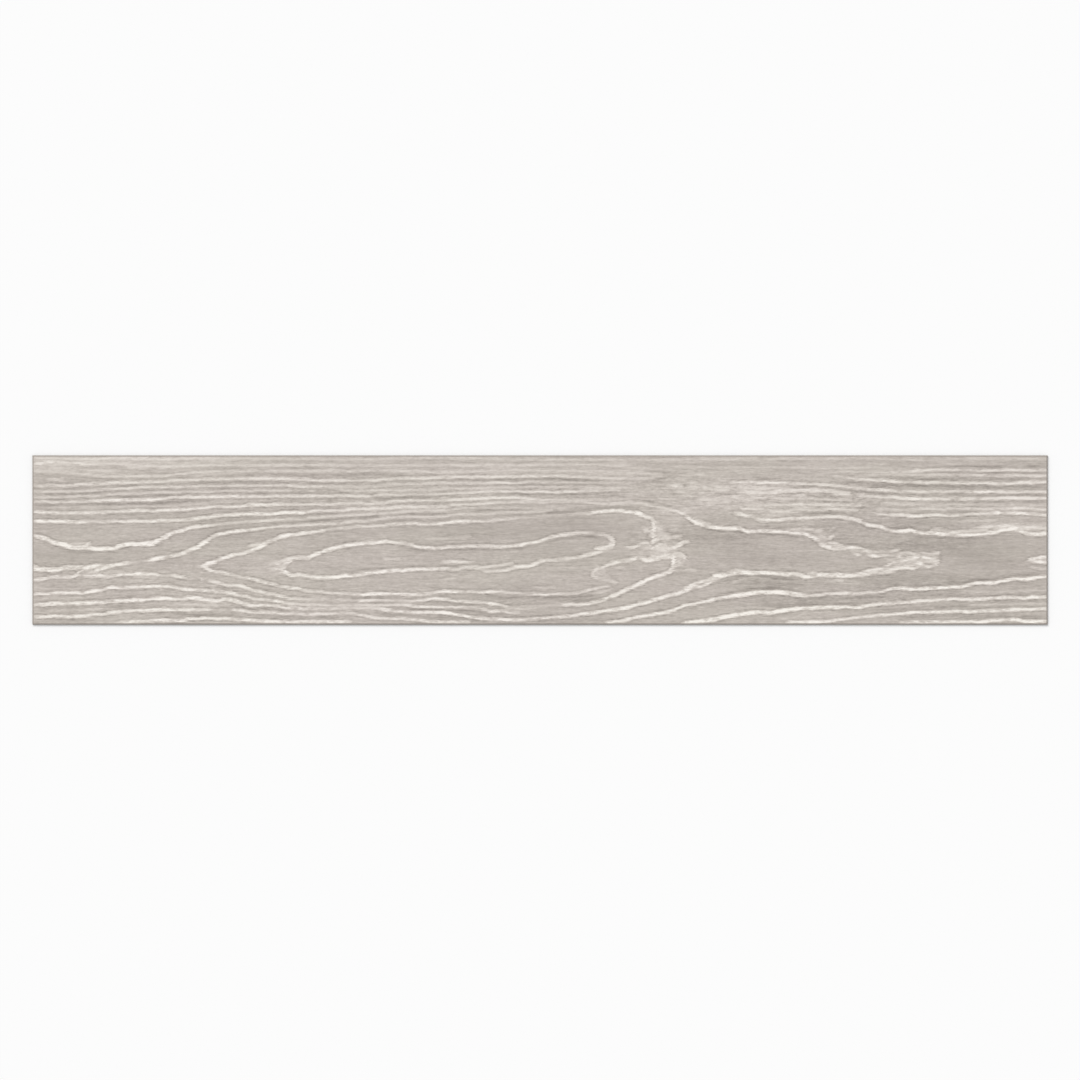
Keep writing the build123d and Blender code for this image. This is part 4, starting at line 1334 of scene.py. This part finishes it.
# %% The depth of the embossing
RING_DEPTH = 0.14  # mm
DARK_DEPTH = 0.06
FIBRE_DEPTH = 0.05
FIBRE_RUN = 30  # mm along a fibre, over which its dip changes
FIBRE_STEP = 1.3  # how quickly the dip changes across the fibres
FIBRE_SEED = SEED + 9


def soft_step(value, start, end):
    t = np.clip((value - start) / (end - start), 0, 1)
    return t * t * (3 - 2 * t)


fibre_dip = field_of(lambda x, y: noise.noise((x / FIBRE_RUN, y * FIBRE_STEP, FIBRE_SEED)))
depth = RING_DEPTH * soft_step(lime_reach, -0.5, 0.5) * soft_step(lime_white, 0.0, 0.8)
depth += DARK_DEPTH * soft_step(dark_reach, -0.4, 0.6) * dark_strength
depth += FIBRE_DEPTH * soft_step(fibre_dip, 0.0, 0.7)
print("deepest", round(float(depth.max()), 3), "mm")

# %% [markdown]
# The plank is modelled from its face down, and the face is a grid. Each of its corners moves to
# its own column and fibre and sinks by its own depth, and the numbers of the figure are stored on
# it, where the shader can read them later.

# %% The face
bm = bmesh.new()
bmesh.ops.create_grid(bm, x_segments=column_count, y_segments=row_count, size=1.0)
figure = {
    "lime_reach": lime_reach,
    "lime_white": lime_white,
    "dark_reach": dark_reach,
    "dark_strength": dark_strength,
    "broad_tone": broad_tone,
    "stir": stir,
}
layers = [(bm.verts.layers.float.new(name), values) for name, values in figure.items()]
for vert in bm.verts:
    i = round((vert.co.x + 1) / 2 * column_count)
    j = round((vert.co.y + 1) / 2 * row_count)
    vert.co = (columns[i] * MM, rows[j] * MM, gauge - depth[i, j] * MM)
    for layer, values in layers:
        vert[layer] = values[i, j]
print(len(bm.verts), "corners on the face")

# %% [markdown]
# The rim of the face is extruded and scaled out to the foot of the bevel, extruded again down the
# square land, and the open loop at the bottom is filled. Scaling by the ratio of the two rims
# keeps the corners mitred, and a scale of zero in Z flattens a loop before it is moved to its
# height. Every face gets the number of its finish.
#
# Extruding leaves the new faces in an order that changes from run to run. So at the end they are
# sorted by their bearing round the plank, and the script makes the same mesh each time.

# %% The bevel, the land and the underside
FACE, BEVEL, LAND, UNDERSIDE = range(4)


def draw_out(bm, loop, stretch, height, finish):
    """Extrudes a loop of edges, stretches it, lays it flat at a height, and returns it"""
    for edge in loop:
        edge.smooth = False
    drawn = bmesh.ops.extrude_edge_only(bm, edges=loop)["geom"]
    verts = [part for part in drawn if isinstance(part, bmesh.types.BMVert)]
    bmesh.ops.scale(bm, verts=verts, vec=(*stretch, 0))
    bmesh.ops.translate(bm, verts=verts, vec=(0, 0, height))
    for part in drawn:
        if isinstance(part, bmesh.types.BMFace):
            part.material_index = finish
    new = set(verts)
    edges = [part for part in drawn if isinstance(part, bmesh.types.BMEdge)]
    return [edge for edge in edges if new.issuperset(edge.verts)]


face_rim = [edge for edge in bm.edges if edge.is_boundary]
stretch = (half_length / face_half_length, half_width / face_half_width)
bevel_foot = draw_out(bm, face_rim, stretch, land_height, BEVEL)
bottom_rim = draw_out(bm, bevel_foot, (1, 1), 0.0, LAND)
for edge in bottom_rim:
    edge.smooth = False
underside = bmesh.ops.contextual_create(bm, geom=bottom_rim)["faces"]
for face in underside:
    face.material_index = UNDERSIDE
for face in bm.faces:
    face.smooth = face.material_index == FACE
bmesh.ops.recalc_face_normals(bm, faces=bm.faces)


def place_in_order(face):
    """A number that grows with a face's finish and, round the rim, with its bearing"""
    if face.material_index == FACE:
        return face.index
    middle = face.calc_center_median()
    return len(bm.faces) * face.material_index + math.atan2(middle.y, middle.x)


bm.faces.index_update()
bm.faces.sort(key=place_in_order)
open_edges = [edge for edge in bm.edges if not edge.is_manifold]
print(len(bm.faces), "faces, open edges", len(open_edges))
print("volume", round(bm.calc_volume() / MM**3), "cubic mm")

# %% [markdown]
# The map says where each face lies on a square picture, should the surface ever be painted or
# baked. The printed face is by far the most detailed, so it is cut in two halves that fill two
# thirds of the square, with the bevels round them. The underside and the cut edges share the
# rest, the edges drawn taller than they are, so that they are more than a line.

# %% The map
MAP_MARGIN = 0.004
EDGE_ON_MAP = 0.018  # how tall a cut edge is drawn
ENDS_APART = 0.3  # how far along their shelf the two short edges are from each other
SHELVES = {  # how far up the square each strip starts
    "left": 0.004,
    "right": 0.340,
    "underside": 0.678,
    "near": 0.850,
    "far": 0.875,
    "ends": 0.900,
}

uv_layer = bm.loops.layers.uv.new("OFBake")
span = 1 - 2 * MAP_MARGIN
half_shelf = span * half_width / (half_length / 2) / 2  # half the height of a half of the face


def along_map(x, full_length):
    return MAP_MARGIN + span * x / full_length


def place(face, point):
    """Where a corner of a face goes on the map"""
    x = point.x + half_length
    y = point.y + half_width
    up = point.z / land_height
    if face.material_index in (FACE, BEVEL):
        shelf = "left" if face.calc_center_median().x < 0 else "right"
        x = x if shelf == "left" else x - half_length
        return along_map(x, half_length), SHELVES[shelf] + half_shelf * y / half_width
    if face.material_index == UNDERSIDE:
        up_shelf = half_shelf / 2 * y / half_width
        return along_map(x, 2 * half_length), SHELVES["underside"] + up_shelf
    if abs(face.normal.y) > 0.5:
        shelf = "far" if face.normal.y > 0 else "near"
        return along_map(x, 2 * half_length), SHELVES[shelf] + EDGE_ON_MAP * up
    start = ENDS_APART if face.normal.x > 0 else 0.0
    return start + along_map(y, 2 * half_length), SHELVES["ends"] + EDGE_ON_MAP * up


for face in bm.faces:
    for loop in face.loops:
        loop[uv_layer].uv = place(face, loop.vert.co)
print("each half of the face is", round(2 * half_shelf, 3), "tall on the map")

# %% [markdown]
# The mesh is finished, so it becomes an object. The object stays at the origin, unturned and
# unscaled, because the places are all in the mesh.

# %% Make the plank an object
plank_mesh = bpy.data.meshes.new("limed_oak_plank")
bm.to_mesh(plank_mesh)
bm.free()
plank = bpy.data.objects.new("limed_oak_plank", plank_mesh)
bpy.context.collection.objects.link(plank)
plank_mesh.calc_loop_triangles()
print(len(plank_mesh.loop_triangles), "triangles")

# %% [markdown]
# The finishes are made of two kinds of noise. Object coordinates are in metres, so a streak's
# length and width in millimetres become the scale of a flat noise texture: long thin noise reads
# as fibre, and several sizes of it together as wood. Grit is as long as it is wide, and serves
# for the core and the backing. Noise lies round 0.5, so streaks are moved and stretched to lie
# round zero, and a strength in front of them then says how far they go up and down.


# %% Streaks and grit
STREAK_SHIFT = 1.7  # so that a streak's seed moves it a different way along and across
STREAK_GAIN = 4.0


def streaks(shader, length, width, seed, detail=2.0):
    """Noise about zero, mostly between -1 and 1, in streaks of a length and width in millimetres

    Each use has a seed of its own, so that no two of them match.
    """
    where = shader.node("TexCoord", output="Object")
    scale = (1 / (length * MM), 1 / (width * MM), 0.0)
    shift = (seed, seed * STREAK_SHIFT, 0.0)
    sockets = {0: where, 1: scale, 2: shift}
    stretched = shader.node("VectorMath", {"operation": "MULTIPLY_ADD"}, sockets)
    sockets = {"Vector": stretched, "Scale": 1.0, "Detail": detail}
    value = shader.node("TexNoise", {"noise_dimensions": "2D"}, sockets)
    return (value - 0.5) * STREAK_GAIN


def grit(shader, size, detail=1.0):
    """Noise of grains of about a size in millimetres, from 0 to 1"""
    where = shader.node("TexCoord", output="Object")
    sockets = {"Vector": where, "Scale": 1 / (size * MM), "Detail": detail}
    return shader.node("TexNoise", values=sockets)


# %% [markdown]
# A finish is a material on the plank's mesh, and the number that each face was given is the
# place of its finish in the mesh's list. So the four finishes are made in the same order: face,
# bevel, land, underside.


# %% What a finish is
def finish(name):
    """A new material on the plank, as the shader that its nodes go in"""
    material = bpy.data.materials.new(name)
    plank_mesh.materials.append(material)
    return Shader(material)


def stored(shader, name):
    """A number that was stored on the mesh"""
    return shader.node("Attribute", {"attribute_name": name}, output="Fac")


# %% [markdown]
# The print is built as one number, the lightness, from 0 for the darkest fibre to 1 for packed
# white lime, and a ramp turns it into colour at the very end. It starts as bare wood, whose grain
# is noise of several sizes: long slow changes of tone, streaks a few millimetres long, and fibres
# much thinner than a millimetre. Pores lie between them, and some hold lime while others are
# dark. The stored stir makes the grain lively round the knot and calm in the wide fields.

# %% The grain of the print
BARE_WOOD = 0.388  # how light the wood is without any lime

oak = finish("limed_oak_print")
stir_here = stored(oak, "stir")
long_grain = 0.040 * streaks(oak, 90, 12, 1.3) + 0.060 * streaks(oak, 45, 3.0, 2.9)
short_grain = 0.055 * streaks(oak, 17, 2.2, 12.4) + 0.060 * streaks(oak, 8, 1.8, 6.2)
short_grain = short_grain + 0.060 * streaks(oak, 3.6, 1.5, 19.4)
fine_fibres = 0.09 * streaks(oak, 9, 0.34, 33.3, detail=1.0)
limed_pores = oak.step(streaks(oak, 11, 0.42, 9.3, detail=1.0), 0.55, 1.1)
dark_pores = oak.step(streaks(oak, 6, 0.30, 11.8, detail=1.0), 0.6, 1.2)
short_grain = short_grain + 0.11 * limed_pores - 0.12 * dark_pores
wood = stored(oak, "broad_tone") + BARE_WOOD + fine_fibres
wood = wood + long_grain * (0.5 + 0.5 * stir_here) + short_grain * stir_here
print("grain, fibres and pores take", len(oak.tree.nodes), "nodes")

# %% [markdown]
# The lime mask comes from the stored reach. Thin noise, the hair, breaks the edge of a ring into
# fibres, and the beads thin the lime along it, as the maker's cloth does when the surplus is
# rubbed off.

# %% The lime in the rings
LIME = 0.96  # how light packed lime is
MOST_LIME = 1.1  # a little more than full, so that the heart of a ring stays solid

hair = 0.36 * streaks(oak, 4.5, 0.7, 3.1) + 0.44 * streaks(oak, 11, 1.1, 8.4)
lime_edge = stored(oak, "lime_reach") + hair
beads = 0.40 * streaks(oak, 5, 1.8, 16.6) + 0.36 * streaks(oak, 12, 2.6, 10.6)
beads = beads + 0.36 * streaks(oak, 30, 4, 27.7)
left_by_cloth = oak.maths("MINIMUM", 0.97 + beads, MOST_LIME)
lime = oak.step(lime_edge, -1.0, 0.8) * stored(oak, "lime_white") * left_by_cloth
print("with the lime", len(oak.tree.nodes), "nodes")

# %% [markdown]
# Just outside a ring the wood is a little darker, because dense wood lies beside the open pores.
# Where a band of late wood lies there too, the darker of the two counts, so that they don't add
# up to a black line. At the end the lime covers the wood: the lightness goes from that of the
# bare wood to that of lime as far as the lime mask says.

# %% The dark wood beside the lime
beside = oak.step(lime_edge, -2.7, -1.1) - oak.step(lime_edge, -1.1, -0.3)
beside = beside * stored(oak, "lime_white") * (1.0 + 0.8 * streaks(oak, 6, 1.5, 18.3))
late_edge = stored(oak, "dark_reach") + 0.35 * streaks(oak, 12, 0.6, 5.7)
late_wood = oak.step(late_edge, -1.2, 0.9) * stored(oak, "dark_strength")
patches = oak.step(streaks(oak, 24, 5, 25.3), -0.55, 0.45)
bare = wood - oak.maths("MAXIMUM", 0.17 * beside, late_wood * (0.17 + 0.14 * patches))
lightness = bare + lime * (LIME - bare)
print("with the dark wood", len(oak.tree.nodes), "nodes")

# %% [markdown]
# The ramp gives the lightness its colours, from the darkest fibre to the lime, all of them warm
# greys, and very broad noise makes them a touch warmer or cooler here and there. The wear layer
# over the print is a matt lacquer, duller in the lime, and the bump adds the pores, which are
# too fine for the mesh.

# %% The colours and the wear layer
LIGHTNESS = [
    (0.00, colour(141, 133, 126)),
    (0.25, colour(173, 165, 157)),
    (0.50, colour(197, 189, 181)),
    (0.75, colour(220, 213, 205)),
    (1.00, colour(246, 241, 234)),
]
COOLER = (1.006, 0.996, 1.003, 1.0)
WARMER = (1.000, 1.000, 0.993, 1.0)

print_colour = oak.node("ValToRGB", {"stops": LIGHTNESS}, {"Fac": lightness})
warmth = oak.step(streaks(oak, 120, 26, 7.7), -0.8, 0.8)
tinted = oak.blend(1.0, print_colour, oak.blend(warmth, COOLER, WARMER), how="MULTIPLY")
pore_height = 0.012 * streaks(oak, 4, 0.5, 13.2) - 0.03 * limed_pores - 0.04 * dark_pores
pores = oak.relief(pore_height, strength=0.8)
sheen = 0.47 + 0.10 * lime + 0.03 * streaks(oak, 20, 2, 15.1)
lacquer = {"Base Color": tinted, "Roughness": sheen, "Normal": pores}
oak.end_with(oak.node("BsdfPrincipled", values=lacquer))

# %% [markdown]
# The bevel is planed after pressing and then painted by a roller, in a taupe a few shades below
# the print. The cut of the knife shows through the paint as fine lines along the edge.

# %% The painted bevel
paint = finish("bevel_paint")
rolled = 0.5 + 0.25 * streaks(paint, 18, 1.0, 21.4) + 0.2 * streaks(paint, 3, 3, 22.9)
paint_colour = paint.blend(rolled, colour(139, 130, 122), colour(158, 149, 141))
coat = {"Base Color": paint_colour, "Roughness": 0.52, "Normal": paint.relief(0.01 * rolled)}
paint.end_with(paint.node("BsdfPrincipled", values=coat))

# %% [markdown]
# The land is where the punch sheared the sheet. It shows the core, which is vinyl packed with
# chalk and ground scrap: a flat mid grey with paler and darker grains, dull, and scored from top
# to bottom by the punch.

# %% The cut edge
SCORE_WIDTH = 0.5 * MM
SCORE_LENGTH = 8 * MM

core = finish("filled_vinyl_core")
grains = grit(core, 0.6, detail=2.0)
where = core.node("TexCoord", output="Object")
score_stretch = {0: where, 1: (1 / SCORE_WIDTH, 1 / SCORE_WIDTH, 1 / SCORE_LENGTH)}
score_place = core.node("VectorMath", {"operation": "MULTIPLY"}, score_stretch)
scores = core.node("TexNoise", values={"Vector": score_place, "Scale": 1.0, "Detail": 1.0})
core_shade = core.step(grains, 0.3, 0.72)
core_colour = core.blend(core_shade, colour(112, 108, 104), colour(150, 146, 141))
sheared = core.relief(0.03 * scores + 0.02 * grains)
cut = {"Base Color": core_colour, "Roughness": 0.78, "Normal": sheared}
core.end_with(core.node("BsdfPrincipled", values=cut))

# %% [markdown]
# The backing is the same filled vinyl off a roller, which leaves it matt and finely pebbled to
# hold the glue. Its grey clouds a little along the sheet, and a few pale specks of ground scrap
# lie in it.

# %% The backing
backing = finish("pebbled_backing")
pebbles = grit(backing, 1.1)
clouds = streaks(backing, 160, 40, 31.0)
speck_mask = backing.step(grit(backing, 1.3), 0.68, 0.76)
backing_shade = backing.step(pebbles, 0.3, 0.7) * 0.6 + 0.2 + 0.22 * clouds
backing_colour = backing.blend(backing_shade, colour(114, 111, 107), colour(138, 135, 131))
backing_colour = backing.blend(speck_mask * 0.6, backing_colour, colour(176, 172, 166))
dull = {"Base Color": backing_colour, "Roughness": 0.82, "Normal": backing.relief(0.08 * pebbles)}
backing.end_with(backing.node("BsdfPrincipled", values=dull))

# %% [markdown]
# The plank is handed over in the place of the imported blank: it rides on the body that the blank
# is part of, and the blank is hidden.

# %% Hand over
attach(plank, "root")
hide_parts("plank")
